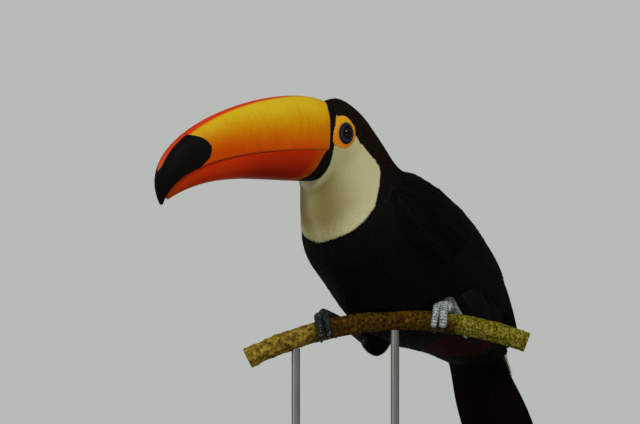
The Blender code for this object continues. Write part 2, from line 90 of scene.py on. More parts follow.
# How far a folded wing stands off the body, and how round its edge is.
WING_GAP, WING_RIM = 0.12, 0.7
TAIL_ROOT = (-9.25, -3.25)
TAIL_TIP = (-14.9, -14.4)
TAIL_HALF = (3.3, 4.35)
FEET = {"left": (2.55, (-3.39, 4.22, -1.10)), "right": (-7.05, (2.05, -2.80, -1.40))}
TOES = {
    "left": (
        (-0.46, -0.66, -40.0, 104.0, 0.82),
        (-0.02, 0.10, -36.0, 100.0, 1.02),
        (-0.22, -0.45, 27.0, -122.0, 0.95),
        (0.36, 0.90, 23.0, -118.0, 0.90),
    ),
    "right": (
        (-0.16, -0.52, -30.0, 112.0, 0.78),
        (0.40, 0.24, -28.0, 106.0, 0.82),
        (-0.26, -0.52, 27.0, -122.0, 0.85),
        (0.30, 0.62, 23.0, -115.0, 0.85),
    ),
}
ANKLES = {"left": (0.42, 0.30, 0.72), "right": (0.10, 0.25, 0.48)}
# How far each leg goes on past its heel, inside the feathers of the thigh.
BURIED = {"left": 0.0, "right": 1.2}
ANKLE_RADIUS = {"left": 0.60, "right": 0.46}
THIGHS = {
    "left": ((-4.3, 4.3, -0.8), (-1.8, 4.7, 2.6), 1.65),
    "right": ((0.53, -2.62, -1.85), (0.4, -3.1, 3.6), 1.85),
}
TARSUS_RADIUS = 0.42
TOE_RADIUS = 0.42
# The length of one scale along a toe, and along a leg.
TOE_SCALE, LEG_SCALE = 0.21, 0.34
LEG_ROWS = TOE_ROWS = 90
# The cells of the skin, in metres, and how often it is evened out.
SKIN_CELL, SKIN_PASSES = 0.0016, 5
SIDES = (("left", 1), ("right", -1))
ACROSS = np.array([0.0, 1.0, 0.0])


# ------------------------------------------------------------ maths in numpy
def arr(*values):
    """The values as float arrays of one shape."""
    return [np.asarray(v, float) for v in np.broadcast_arrays(*values)]


def spline(values, t):
    """A smooth curve through the values, t being 0 at the first and 1 more at each next."""
    values = np.asarray(values, float)
    t = np.asarray(t, float)
    last = len(values) - 1
    i = np.clip(np.floor(t).astype(int), 0, last - 1)
    f = np.clip(t - i, -1.0, 1.0)
    p1, p2 = values[i], values[i + 1]
    p0 = np.where(i > 0, values[np.maximum(i - 1, 0)], 2 * p1 - p2)
    p3 = np.where(i + 2 <= last, values[np.minimum(i + 2, last)], 2 * p2 - p1)
    c = 2 * p0 - 5 * p1 + 4 * p2 - p3
    d = 3 * p1 - p0 - 3 * p2 + p3
    inside = 0.5 * (2 * p1 + (p2 - p0) * f + c * f * f + d * f**3)
    past = values[last] + (values[last] - values[last - 1]) * (t - last)
    return np.where(t > last, past, inside)


def circle(count):
    """Angles all the way round, without the last that meets the first."""
    return np.linspace(0, 2 * math.pi, count, endpoint=False)


def folded(v):
    """The angle from the back in degrees, the same for both sides of the body."""
    return np.degrees(np.abs(v))


def ease(low, high, x):
    """0 at low and 1 at high, with soft ends, either way round."""
    t = np.clip((x - low) / (high - low), 0.0, 1.0)
    return t * t * (3 - 2 * t)


def curve(rows, x, column=1):
    """A column of a table whose rows start with their key, in straight lines between rows."""
    return np.interp(x, [r[0] for r in rows], [r[column] for r in rows])


def unit(v):
    return v / np.maximum(np.linalg.norm(v, axis=-1, keepdims=True), 1e-12)


def bezier(points, t):
    t = np.asarray(t, float)[..., None]
    p = np.asarray(points, float)
    return (
        (1 - t) ** 3 * p[0]
        + 3 * t * (1 - t) ** 2 * p[1]
        + 3 * t * t * (1 - t) * p[2]
        + t**3 * p[3]
    )


def turned(x, y, z, station):
    """The head's turn to the side, which fades out down the neck."""
    angle = HEAD_TURN * (1 - ease(TWIST_FROM, TWIST_TO, station))
    c, s = np.cos(angle), np.sin(angle)
    x = x - HEAD_PIVOT
    return np.stack([HEAD_PIVOT + c * x - s * y, s * x + c * y, z], -1)


def bird_to_world(p):
    """Metres in the shared frame, from the bird's own centimetres ahead, left and up."""
    c, s = math.cos(BODY_YAW), math.sin(BODY_YAW)
    x = BIRD_AT[0] + c * p[..., 0] - s * p[..., 1]
    y = BIRD_AT[1] + s * p[..., 0] + c * p[..., 1]
    return np.stack([x, y, PERCH_HEIGHT + p[..., 2]], -1) * CM


def head_to_world(p):
    """A point of the head's own frame: forward and up from the gape."""
    x = HEAD_PIVOT + BILL_AT + p[..., 0]
    return bird_to_world(turned(x, p[..., 1], GAPE_HEIGHT + p[..., 2], 0.0))


def body_local(station, angle, out=0.0):
    """A point out centimetres off the body, angle 0 at its back."""
    station, angle, out = arr(station, angle, out)
    top = [spline([r[1][i] for r in SECTIONS], station) for i in (0, 1)]
    low = [spline([r[2][i] for r in SECTIONS], station) for i in (0, 1)]
    half = spline([r[3] for r in SECTIONS], station)
    c, s = np.cos(angle), np.sin(angle)
    depth = np.hypot(top[0] - low[0], top[1] - low[1]) / 2
    grow = 1 + out / depth
    full = 0.94 * s + 0.06 * s * np.abs(s) - 0.07 * s * c
    x = (top[0] + low[0]) / 2 + (top[0] - low[0]) / 2 * c * grow
    z = (top[1] + low[1]) / 2 + (top[1] - low[1]) / 2 * c * grow
    return turned(x, (half + out) * full, z, station)


def body_at(station, angle, out=0.0):
    return bird_to_world(body_local(station, angle, out))


def wing_table(station):
    """Upper and lower bound in degrees, then the height of the outer and inner face."""
    t = np.interp(station, [r[0] for r in WING], range(len(WING)))
    return [spline([r[c] for r in WING], t) for c in (1, 2, 3, 4)]


def wing_station(u):
    return WING[0][0] + (WING[-1][0] - WING[0][0]) * u


def wing_height(v, thick, under):
    """How far a wing's face stands over the body, v from -1 to 1 between its edges."""
    rim = np.sqrt(np.clip(1 - v * v, 0.0, 1.0)) ** WING_RIM
    edge = np.maximum(under, 0.0) + WING_GAP
    return edge + (thick + WING_GAP - edge) * rim


def wing_at(sign, outer=True):
    """A face of a folded wing: u from shoulder to tip, v from upper to lower edge."""
    def at(u, v, out=0.0):
        u, v, out = arr(u, v, out)
        station = wing_station(u)
        upper, lower, top, under = wing_table(station)
        angle = np.radians(upper + (lower - upper) * (v + 1) / 2)
        height = wing_height(v, top if outer else under, under)
        p = body_local(station, angle, height + out)
        p[..., 1] *= sign
        return bird_to_world(p)

    return at


def normal_at(at, u, v, out, p):
    """The outward normal of a surface at points p."""
    e = 0.01
    n = unit(np.cross(at(u + e, v, out) - p, at(u, v + e, out) - p))
    facing = ((at(u, v, out + 0.02) - p) * n).sum(-1, keepdims=True)
    return np.where(facing < 0, -n, n)


# ------------------------------------------------------------------- meshes
def add_coat(me, tones):
    """The colour of each point, which the materials of skin and feathers read."""
    layer = me.attributes.new("coat", "FLOAT_COLOR", "POINT")
    rgba = np.ones((len(me.vertices), 4), np.float32)
    rgba[:, :3] = np.asarray(tones, np.float32).reshape(-1, 3)
    layer.data.foreach_set("color", rgba.ravel())


def fast_mesh(name, verts, faces, smooth=True, points=None, coat=None, uv=None):
    """An object from arrays: faces is a list of (n, k) index arrays."""
    me = bpy.data.meshes.new(name)
    verts = np.ascontiguousarray(verts, np.float32).reshape(-1, 3)
    me.vertices.add(len(verts))
    me.vertices.foreach_set("co", verts.ravel())
    faces = [np.asarray(f, np.int32) for f in faces if len(f)]
    loops = np.concatenate([f.ravel() for f in faces])
    totals = np.concatenate([np.full(len(f), f.shape[1], np.int32) for f in faces])
    starts = np.concatenate([[0], np.cumsum(totals)[:-1]]).astype(np.int32)
    me.loops.add(len(loops))
    me.loops.foreach_set("vertex_index", loops)
    me.polygons.add(len(totals))
    me.polygons.foreach_set("loop_start", starts)
    me.polygons.foreach_set("use_smooth", np.full(len(totals), smooth))
    me.update(calc_edges=True)
    for key, values in (points or {}).items():
        layer = me.attributes.new(key, "FLOAT", "POINT")
        layer.data.foreach_set("value", np.asarray(values, np.float32).ravel())
    if coat is not None:
        add_coat(me, coat)
    if uv is not None:
        layer = me.uv_layers.new(name="OFBake")
        layer.uv.foreach_set("vector", np.asarray(uv, np.float32)[loops].ravel())
    ob = bpy.data.objects.new(name, me)
    bpy.context.scene.collection.objects.link(ob)
    return ob


def grid_faces(rows, cols):
    """Four-sided faces between rings of points, each ring closed on itself."""
    i = np.arange(rows - 1)[:, None]
    j = np.arange(cols)[None, :]
    k = (j + 1) % cols
    a = i * cols
    b = a + cols
    return np.stack([a + j, a + k, b + k, b + j], -1).reshape(-1, 4)


def loft(rings):
    """Points and faces of a closed tube through an array of rings (n, m, 3)."""
    n, m = rings.shape[:2]
    verts = np.concatenate([rings.reshape(-1, 3), rings[:1].mean(1), rings[-1:].mean(1)])
    j = np.arange(m)
    k = (j + 1) % m
    first = np.stack([k, j, np.full(m, n * m)], -1)
    last = np.stack([(n - 1) * m + j, (n - 1) * m + k, np.full(m, n * m + 1)], -1)
    return verts, [grid_faces(n, m), first, last]


def read(items, key, width, kind=np.float32):
    """Values of a mesh's points, edges or faces, one row for each."""
    values = np.empty(len(items) * width, kind)
    items.foreach_get(key, values)
    return values.reshape(-1, width)


def outward(ob):
    """Turns a closed piece's faces outward if its volume comes out negative."""
    me = ob.data
    me.calc_loop_triangles()
    p = read(me.vertices, "co", 3)[read(me.loop_triangles, "vertices", 3, np.int32)]
    if np.linalg.det(p.astype(float)).sum() < 0:
        me.flip_normals()
    return ob


# ---------------------------------------------------------------- materials
class Nodes:
    """Short ways to lay out a material's nodes."""

    def __init__(self, name, rough=0.5):
        self.mat = bpy.data.materials.new(name)
        self.mat.use_nodes = True
        self.tree = self.mat.node_tree
        self.shader = self.tree.nodes["Principled BSDF"]
        self.shader.inputs["Roughness"].default_value = rough

    def put(self, value, socket):
        if isinstance(value, bpy.types.NodeSocket):
            self.tree.links.new(value, socket)
        elif value is not None:
            if hasattr(socket.default_value, "__len__") and not hasattr(value, "__len__"):
                value = (value,) * len(socket.default_value)
            if hasattr(value, "__len__") and len(socket.default_value) == 4:
                value = (*value[:3], 1.0)
            socket.default_value = value

    def attribute(self, name, out="Fac"):
        node = self.tree.nodes.new("ShaderNodeAttribute")
        node.attribute_name = name
        return node.outputs[out]

    def coords(self):
        return self.tree.nodes.new("ShaderNodeTexCoord").outputs["Object"]

    def scaled(self, vector, scale):
        node = self.tree.nodes.new("ShaderNodeMapping")
        self.put(vector, node.inputs["Vector"])
        node.inputs["Scale"].default_value = scale
        return node.outputs["Vector"]

    def noise(self, scale, detail=4.0, rough=0.55, vector=None, distort=0.0):
        node = self.tree.nodes.new("ShaderNodeTexNoise")
        self.put(vector or self.coords(), node.inputs["Vector"])
        node.inputs["Scale"].default_value = scale
        node.inputs["Detail"].default_value = detail
        node.inputs["Roughness"].default_value = rough
        node.inputs["Distortion"].default_value = distort
        return node.outputs["Fac"]

    def voronoi(self, scale, feature="F1"):
        node = self.tree.nodes.new("ShaderNodeTexVoronoi")
        node.feature = feature
        self.put(self.coords(), node.inputs["Vector"])
        node.inputs["Scale"].default_value = scale
        return node.outputs["Distance"]

    def math(self, operation, a, b=None, c=None):
        node = self.tree.nodes.new("ShaderNodeMath")
        node.operation = operation
        for value, socket in zip((a, b, c), node.inputs):
            self.put(value, socket)
        return node.outputs[0]

    def line(self, x, slope, start):
        return self.math("MULTIPLY_ADD", x, slope, start)

    def times(self, a, b):
        return self.math("MULTIPLY", a, b)

    def shaded(self, color, shade):
        return self.mix(1.0, color, shade, "MULTIPLY")

    def mix(self, fac, a, b, blend="MIX"):
        node = self.tree.nodes.new("ShaderNodeMix")
        node.data_type = "RGBA"
        node.blend_type = blend
        # The colour sockets come after the float and vector ones.
        for value, index in ((fac, 0), (a, 6), (b, 7)):
            self.put(value, node.inputs[index])
        return node.outputs[2]

    def vector(self, x, y, z):
        node = self.tree.nodes.new("ShaderNodeCombineXYZ")
        for value, socket in zip((x, y, z), node.inputs):
            self.put(value, socket)
        return node.outputs[0]

    def stray(self, noise, amount, base):
        """A value that strays from base by amount times a noise of middle 0.5."""
        return self.line(self.math("SUBTRACT", noise, 0.5), amount, base)

    def band(self, value, start, end):
        """0 at start and 1 at end, either way round."""
        node = self.tree.nodes.new("ShaderNodeMapRange")
        node.interpolation_type = "SMOOTHSTEP"
        self.put(value, node.inputs["Value"])
        flip = start > end
        node.inputs["From Min"].default_value = min(start, end)
        node.inputs["From Max"].default_value = max(start, end)
        node.inputs["To Min"].default_value = 1.0 if flip else 0.0
        node.inputs["To Max"].default_value = 0.0 if flip else 1.0
        return node.outputs["Result"]

    def ramp(self, fac, stops):
        node = self.tree.nodes.new("ShaderNodeValToRGB")
        marks = node.color_ramp.elements
        while len(marks) < len(stops):
            marks.new(0.5)
        for mark, (at, value) in zip(marks, stops):
            mark.position = at
            mark.color = (*value, 1) if hasattr(value, "__len__") else (value,) * 3 + (1,)
        self.put(fac, node.inputs["Fac"])
        return node.outputs["Color"]

    def bump(self, height, strength, distance):
        node = self.tree.nodes.new("ShaderNodeBump")
        self.put(height, node.inputs["Height"])
        node.inputs["Strength"].default_value = strength
        node.inputs["Distance"].default_value = distance
        return node.outputs["Normal"]

    def done(self, color, rough=None, normal=None, shine=None):
        self.put(color, self.shader.inputs["Base Color"])
        self.put(rough, self.shader.inputs["Roughness"])
        self.put(normal, self.shader.inputs["Normal"])
        self.put(shine, self.shader.inputs["Specular IOR Level"])
        return self.mat


def feather_material(
    name, rough, seed_tone, barb, shine, barbs_along=150.0, fleck_tone=0.3
):
    n = Nodes(name)
    color = n.attribute("coat", "Color")
    along = n.attribute("along")
    across = n.attribute("across")
    seed = n.attribute("seed")
    side = n.math("ABSOLUTE", across)
    slant = n.math("ADD", n.times(along, barbs_along), n.times(side, -30.0))
    slant = n.math("ADD", slant, n.times(seed, 60.0))
    barbs = n.line(n.math("SINE", slant), 0.5, 0.5)
    shaft = n.band(side, 0.09, 0.03)
    fleck = n.noise(900.0, 3.0)
    shade = n.line(seed, seed_tone, 1.0 - seed_tone / 2)
    shade = n.stray(fleck, fleck_tone, shade)
    shade = n.line(barbs, fleck_tone * 0.3, shade)
    tint = n.shaded(color, shade)
    height = n.line(shaft, 0.8, barbs)
    normal = n.bump(height, barb, 0.0003)
    roughness = n.line(fleck, 0.16, rough - 0.08)
    return n.done(tint, roughness, normal, shine)


# ------------------------------------------------------------------ plumage
# Steps of 1 / PLASTIC_NUMBER and its square spread points evenly over a square.
PLASTIC_NUMBER = 1.32471795724
# Over 1, so that the rows of a vane stand closer together toward its tip.
CLOSER_AT_TIP = 1.25


def scatter(at, u_range, v_range, count, weight, rows=150, cols=150):
    """Even roots over a surface, as dense as weight(u, v) asks for."""
    u = np.linspace(*u_range, rows + 1)
    v = np.linspace(*v_range, cols + 1)
    p = at(u[:, None], v[None], 0.0)
    a = p[1:, 1:] - p[:-1, :-1]
    b = p[1:, :-1] - p[:-1, 1:]
    area = np.linalg.norm(np.cross(a, b), axis=-1)
    uc, vc = (u[1:] + u[:-1]) / 2, (v[1:] + v[:-1]) / 2
    area = area * weight(uc[:, None], vc[None]) + 1e-15
    row_sum = np.concatenate([[0], np.cumsum(area.sum(1))])
    row_sum /= row_sum[-1]
    n = np.arange(count)
    r1 = (0.5 + n / PLASTIC_NUMBER) % 1
    r2 = (0.5 + n / PLASTIC_NUMBER**2) % 1
    row = np.clip(np.searchsorted(row_sum, r1, "right") - 1, 0, rows - 1)
    part = (r1 - row_sum[row]) / (row_sum[row + 1] - row_sum[row])
    across = np.cumsum(area, 1)
    across /= across[:, -1:]
    flat = (across + np.arange(rows)[:, None]).ravel()
    place = np.searchsorted(flat, row + r2 * (1 - 1e-9))
    col = np.clip(place - row * cols, 0, cols - 1)
    low = np.where(col > 0, across[row, np.maximum(col - 1, 0)], 0.0)
    share = (r2 - low) / np.maximum(across[row, col] - low, 1e-12)
    return (
        u[0] + (row + part) * (u[1] - u[0]),
        v[0] + (col + np.clip(share, 0, 1)) * (v[1] - v[0]),
    )


def everywhere(u, v):
    """A weight for scatter that treats all places alike."""
    return 1.0 + 0 * u * v


def vane_width(t, root=0.45, belly=0.5, tip=0.12, point=0.5):
    """Half width along a vane: narrow root, widest past the middle, rounded tip."""
    rise = root + (1 - root) * ease(0.0, belly, t)
    past = np.clip((t - belly) / (1 - belly), 0, 1)
    return rise * np.maximum((1 - past**2) ** point, tip)


def tufts(
    at, u, v, length, half, low, high, dv=0.0, rows=4, bend=0.5,
    turn=0.0, roll=0.0, camber=0.02, shape=None,
):
    """Vanes that follow a surface from roots (u, v) along (1, dv).

    low and high are the heights of root and tip over the surface, in centimetres.
    """
    u, v, dv, length, half, low, high = arr(u, v, dv, length, half, low, high)
    n = len(u)
    if turn:
        # A little sideways, whatever the two directions of the surface measure.
        p = at(u, v, 0.0)
        long = np.linalg.norm(at(u + 0.01, v, 0.0) - p, axis=-1)
        wide = np.linalg.norm(at(u, v + 0.01, 0.0) - p, axis=-1)
        dv = dv + RNG.normal(0, turn, n) * long / np.maximum(wide, 1e-9)
    p = at(u, v, 0.0)
    step = 0.05
    reach = np.linalg.norm(at(u + step, v + dv * step, 0.0) - p, axis=-1) / step
    scale = length * CM / np.maximum(reach, 1e-9)
    t = 1 - (1 - np.linspace(0, 1, rows)) ** CLOSER_AT_TIP
    uu = u[:, None] + scale[:, None] * t
    vv = v[:, None] + (dv * scale)[:, None] * t
    out = low[:, None] + (high - low)[:, None] * t**bend
    centre = at(uu, vv, out)
    normal = normal_at(at, uu, vv, out, centre)
    way = unit(np.gradient(centre, axis=1))
    side = unit(np.cross(normal, way))
    normal = np.cross(way, side)
    if roll:
        a = RNG.normal(0, roll, n)[:, None, None]
        side, normal = (
            side * np.cos(a) + normal * np.sin(a),
            normal * np.cos(a) - side * np.sin(a),
        )
    width = vane_width(t, **(shape or {}))
    rise = np.full((n, rows), camber * CM) * np.sqrt(width)
    return centre, side, normal, half[:, None] * CM * width[None], rise


def fit_uv(a, b):
    """Roots on an unwrap of the surface, filling the map."""
    uv = np.stack([a, b], -1).astype(float)
    low, high = uv.min(0), uv.max(0)
    return 0.01 + 0.98 * (uv - low) / np.maximum(high - low, 1e-9)


def vane_mesh(name, mat, centre, side, normal, half, rise, coat, root_uv, cols):
    """Closed thin vanes: an arched top of a few columns over a flat underside."""
    n, k = centre.shape[:2]
    x = np.linspace(-1, 1, cols)
    verts = (
        centre[:, :, None]
        + side[:, :, None] * (half[..., None, None] * x[:, None])
        + normal[:, :, None] * (rise[..., None] * (1 - x**2))[..., None]
    ).reshape(-1, 3)
    base = (np.arange(n) * k * cols)[:, None]
    quads = (base[:, :, None] + grid_faces(k, cols)[None]).reshape(-1, 4)
    ring = np.arange(cols)
    t = np.broadcast_to(np.linspace(0, 1, k)[None, :, None], (n, k, cols))
    across = np.broadcast_to(x[None, None], (n, k, cols))
    seed = np.broadcast_to(RNG.random(n)[:, None, None], (n, k, cols))
    if coat.ndim == 2:
        coat = coat[:, None]
    coat = np.broadcast_to(coat[:, :, None], (n, k, cols, 3))
    spread = np.stack([across * 0.5, t - 0.5], -1) * 0.003
    uv = root_uv[:, None, None] + spread
    ob = fast_mesh(
        name,
        verts,
        [quads, base + ring[::-1][None], base + (k - 1) * cols + ring[None]],
        points={"along": t, "across": across, "seed": seed},
        coat=coat,
        uv=np.clip(uv.reshape(-1, 2), 0, 1),
    )
    # The sides and ends are sharp, so that the top of a vane shades as a flat blade.
    me = ob.data
    ends = read(me.edges, "vertices", 2, np.int32)
    column, row = ends % cols, ends // cols % k
    sharp = (column[:, 0] == column[:, 1]) & np.isin(column[:, 0], (0, cols - 1))
    sharp |= (row[:, 0] == row[:, 1]) & np.isin(row[:, 0], (0, k - 1))
    layer = me.attributes.new("sharp_edge", "BOOLEAN", "EDGE")
    layer.data.foreach_set("value", sharp)
    me.materials.append(mat)
    return outward(ob)


def coat_piece(name, mat, parts, cols=3):
    """A piece of coat from lists of (vanes, colours, unwrap)."""
    vanes = [np.concatenate([p[0][i] for p in parts]) for i in range(5)]
    vanes[0] = clear_of_perch(vanes[0])
    coat = np.concatenate([p[1] for p in parts])
    uv = np.concatenate([p[2] for p in parts])
    ob = vane_mesh(name, mat, *vanes, coat, fit_uv(uv[:, 0], uv[:, 1]), cols)
    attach(ob, "root")


# ----------------------------------------------------------------- markings and painted shade
WHITE = np.array([0.74, 0.715, 0.425])
# The dark yellow that shaded parts of the bib are painted toward: painted shade.
BIB_SHADE = np.array([0.31, 0.25, 0.070])
BLACK = np.array([0.0030, 0.0030, 0.0030])
CROWN = np.array([0.012, 0.0065, 0.0035])
SLATE = np.array([0.0060, 0.0070, 0.0075])
# The vent's red, painted dark for the shade it lies in under the body.
RED = np.array([0.026, 0.0030, 0.0022])
ORANGE = np.array([0.95, 0.33, 0.01])

# Where the black cap ends and the white bib starts: station, degrees from the back.
CAP_EDGE = (
    (0.00, 45), (0.15, 46), (0.35, 53), (1.00, 55), (1.50, 68), (1.65, 72), (2.00, 76),
    (2.50, 74), (3.05, 72), (3.45, 73), (3.70, 78), (4.00, 88), (4.50, 101),
    (4.90, 111), (5.20, 123), (5.55, 137), (5.75, 149), (5.85, 162), (5.95, 178),
    (6.05, 200), (13.0, 200),
)
PATCH_TOP = (
    (0.0, 56), (0.3, 54), (0.6, 52.5), (0.85, 53), (1.1, 55.5), (1.3, 58.5),
    (1.45, 62), (1.58, 70), (1.62, 75),
)
PATCH_LOW = (
    (0.0, 90), (0.3, 93.5), (0.75, 95.5), (1.0, 95), (1.3, 91.5), (1.45, 87), (1.58, 79.5),
    (1.62, 75),
)
# The red round the vent: station, then its upper and lower bound in degrees.
VENT_RED = (
    (10.00, 139, 139), (10.25, 124, 152), (10.50, 108, 160), (10.68, 64, 166),
    (10.85, 64, 172), (10.98, 92, 172), (11.20, 94, 170), (11.45, 104, 160),
    (11.65, 130, 130),
)


def bare_skin(u, degrees):
    """How far inside the bare patch round the eye, in degrees of the section."""
    inside = np.minimum(degrees - curve(PATCH_TOP, u), curve(PATCH_LOW, u) - degrees)
    return np.minimum(inside, (1.62 - u) * 60)


def whiteness(u, degrees):
    """Over 0 inside the bib, in degrees past its edge."""
    return degrees - curve(CAP_EDGE, u)


def coat_color(u, degrees, skin=False):
    """The bird's markings for skin and feathers alike, with painted shade on the bib and the
    vent's red painted dark.
    """
    u, a = arr(u, degrees)
    head = ease(5.0, 2.5, u)[..., None]
    dark = BLACK + (CROWN - BLACK) * head
    flank = (0.5 * ease(8.0, 9.5, u) * ease(70, 110, a) * ease(10.6, 9.8, u))[..., None]
    dark = dark + (SLATE - dark) * flank
    # Painted shade: a dark yellow band down the front of the bib, fainter toward its lower end,
    # and shade under the bill and eye at its top.
    shade_band = np.exp(-(((a - 144 - 5.0 * u) / (40 - 24 * ease(3.0, 4.8, u))) ** 2))
    shade_band = 0.90 * shade_band * ease(0.0, 0.8, u) * (0.5 + 0.5 * ease(5.2, 3.6, u))
    low = np.maximum(shade_band, 0.45 * ease(2.2, 1.0, u) * ease(165, 140, a))
    light = WHITE + (BIB_SHADE - WHITE) * low[..., None]
    color = np.where((whiteness(u, a) > 0)[..., None], light, dark)
    # The vent, in its red painted dark as in shade.
    red = (a > curve(VENT_RED, u, 1)) & (a < curve(VENT_RED, u, 2)) & (u > VENT_RED[0][0])
    color = np.where(red[..., None], RED, color)
    if skin:
        bare = (bare_skin(u, a) > -1)[..., None]
        color = np.where(bare, ORANGE, color)
    return color


def plain(tone, count):
    return np.broadcast_to(tone, (count, 3))


def vary(color, amount):
    """Each feather a little lighter or darker."""
    n = len(color)
    return np.clip(color * (1 + RNG.normal(0, amount, (n, 1))), 0, 1)


def bill_edge(degrees):
    """The station where feathers start behind the black ring of the bill."""
    rows = ((0, 0.02), (40, 0.05), (55, 0.20), (90, 0.28), (120, 0.18), (150, 0.04), (180, 0.0))
    return curve(rows, degrees)


# --------------------------------------------------------- surfaces to cover
def body_roots(u_range, count, weight):
    """Roots on the body, with weight(u, a) and the last result in degrees from the back."""
    u, v = scatter(
        body_at, u_range, (-math.pi, math.pi), count, lambda u, v: weight(u, folded(v)))
    return u, v, folded(v)


def covered_by_wing(u, degrees):
    """Inside a folded wing, where the body's own feathers don't show."""
    top = curve(WING, u, 1) + 7
    low = curve(WING, u, 2) - 9
    return (u > 5.1) & (u < 12.0) & (degrees > top) & (degrees < low)


FEATHER_BLACK = feather_material("black_feather", 0.60, 0.30, 0.18, 0.055)
FEATHER_WHITE = feather_material("white_feather", 0.85, 0.05, 0.04, 0.05, 120.0, 0.05)
FEATHER_VANE = feather_material("vane_feather", 0.68, 0.25, 0.12, 0.03, 620.0)


SILKY = {"root": 0.7, "belly": 0.5, "tip": 0.08, "point": 0.6}


def build_head_coat():
    def face(u, a):
        ok = (u > bill_edge(a)) & (bare_skin(u, a) < 1.2) & (whiteness(u + 0.1, a) > 0)
        return ok * 1.0

    u, v, a = body_roots((0.0, 2.3), 6500, face)
    size = ease(0.0, 2.2, u)
    length = np.minimum(0.42 + 0.45 * size, to_edge(u, v) + 0.05)
    vanes = tufts(
        body_at, u, v, length, 0.036 + 0.010 * size, -0.045,
        RNG.normal(-0.016, 0.002, len(u)), turn=0.04, roll=0.02, camber=0.002,
        shape=SILKY,
    )
    white = np.maximum(a, curve(CAP_EDGE, u) + 2)
    parts = [(vanes, vary(coat_color(u, white), 0.02), np.stack([v, u], -1))]
    coat_piece("coat_face", FEATHER_WHITE, parts)

    def bib(u, a):
        return (whiteness(u + 0.08, a) > 0) * (1.0 - 0.3 * ease(3, 6, u))

    u, v, a = body_roots((2.1, 6.0), 9800, bib)
    size = ease(2.2, 5.5, u)
    length = np.minimum(1.0 + 0.35 * size, to_edge(u, v) + np.abs(RNG.normal(0, 0.04, len(u))))
    lift = RNG.normal(-0.016, 0.002, len(u)) - 0.02 * ease(0.7, 0.2, length)
    vanes = tufts(
        body_at, u, v, np.maximum(length, 0.25), 0.048 + 0.012 * size, -0.048, lift,
        turn=0.04, roll=0.02, camber=0.002, shape=SILKY,
    )
    color = coat_color(u + 0.1, np.maximum(a, curve(CAP_EDGE, u + 0.1) + 1))
    strands = (0.02 + 0.07 * ease(3.4, 4.8, u))[:, None]
    parts = [(vanes, vary(color, strands), np.stack([v, u], -1))]
    coat_piece("coat_bib", FEATHER_WHITE, parts)

    def cap(u, a):
        clear = (whiteness(u + 0.4, a) < 0) & (whiteness(u + 0.9, a) < 0)
        return (clear & (whiteness(u + 0.05, a) < 0) & (bare_skin(u, a) < -0.5)) * 1.0

    u, v, a = body_roots((0.0, 5.6), 8800, cap)
    size = ease(0.0, 4.5, u)
    near = ease(14, 2, -whiteness(u, a)) * (u < 4.2)
    close = ease(3.0, 3.8, u) * ease(5.8, 5.0, u) * ease(75, 50, a)
    lift = RNG.normal(-0.012, 0.009, len(u)) - 0.11 * close + 0.015 * near
    vanes = tufts(
        body_at, u, v, 0.55 + 0.85 * size - 0.25 * near, 0.062 + 0.05 * size - 0.02 * near,
        -0.10 - 0.10 * size, lift, turn=0.07, roll=0.14, camber=0.016,
    )
    color = coat_color(u, np.minimum(a, curve(CAP_EDGE, u) - 1))
    parts = [(vanes, vary(color, 0.12), np.stack([v, u], -1))]
    coat_piece("coat_cap", FEATHER_BLACK, parts)


def to_edge(u, v):
    """Centimetres from a white root, along its feather, to the edge of the bib."""
    ahead = np.linspace(0, 1.6, 41)[1:]
    a = folded(v)
    past = whiteness(u[:, None] + ahead, a[:, None] + 0 * ahead) <= 0
    first = np.where(past.any(1), past.argmax(1), len(ahead) - 1)
    gap = body_at(u + ahead[first], v) - body_at(u, v)
    return np.linalg.norm(gap, axis=-1) / CM


def blanket_at(u, v, out=0.0):
    """The body with the folded wings under a soft cover, for feathers that lap over them."""
    u, v, out = arr(u, v, out)
    a = folded(v)
    top, low, thick, _ = wing_table(u)
    thick = np.minimum(thick, 0.95)
    w = np.abs(2 * a - top - low) / np.maximum(low - top, 18.0)
    cover = (0.13 + thick) * ease(1.3, 0.62, w) * ease(4.1, 5.2, u) * ease(12.9, 11.9, u)
    return body_at(u, v, out + cover)


def build_body_coat():
    def spread(low, high):
        def weight(u, a):
            edge = curve(WING, u, 2)
            lap = (u < 6.0) | ((u < 8.6) & (a > edge - 12 * ease(8.6, 7.0, u)))
            ok = (a >= low) & (a < high) & (~covered_by_wing(u, a) | lap)
            return (ok & (whiteness(u + 0.1, a) < 0) & (u > 4.2)) * 1.0

        return weight

    for name, low, high, count in (("coat_back", 0, 75, 6000), ("coat_breast", 75, 181, 8800)):
        u, v, a = body_roots((4.2, 11.9), count, spread(low, high))
        size = ease(4.4, 7.5, u)
        length = 1.15 + 0.85 * size - 0.6 * ease(10.5, 12.0, u) * (a > 80)
        length = np.minimum(length, 0.45 + 1.3 * np.maximum(11.9 - u, 0))
        close = ease(5.8, 5.0, u) * ease(75, 50, a)
        lift = RNG.normal(-0.018, 0.014, len(u)) - 0.11 * close
        vanes = tufts(
            blanket_at, u, v, length, 0.14 + 0.12 * size, -0.28, lift,
            turn=0.07, roll=0.13, camber=0.026,
        )
        dark = np.minimum(a, np.where(u < 6.5, curve(CAP_EDGE, u) - 1, 180))
        color = vary(coat_color(u + 0.35 * ease(9.0, 10.0, u), dark), 0.12)
        parts = [(vanes, color, np.stack([v, u], -1))]
        coat_piece(name, FEATHER_BLACK, parts)


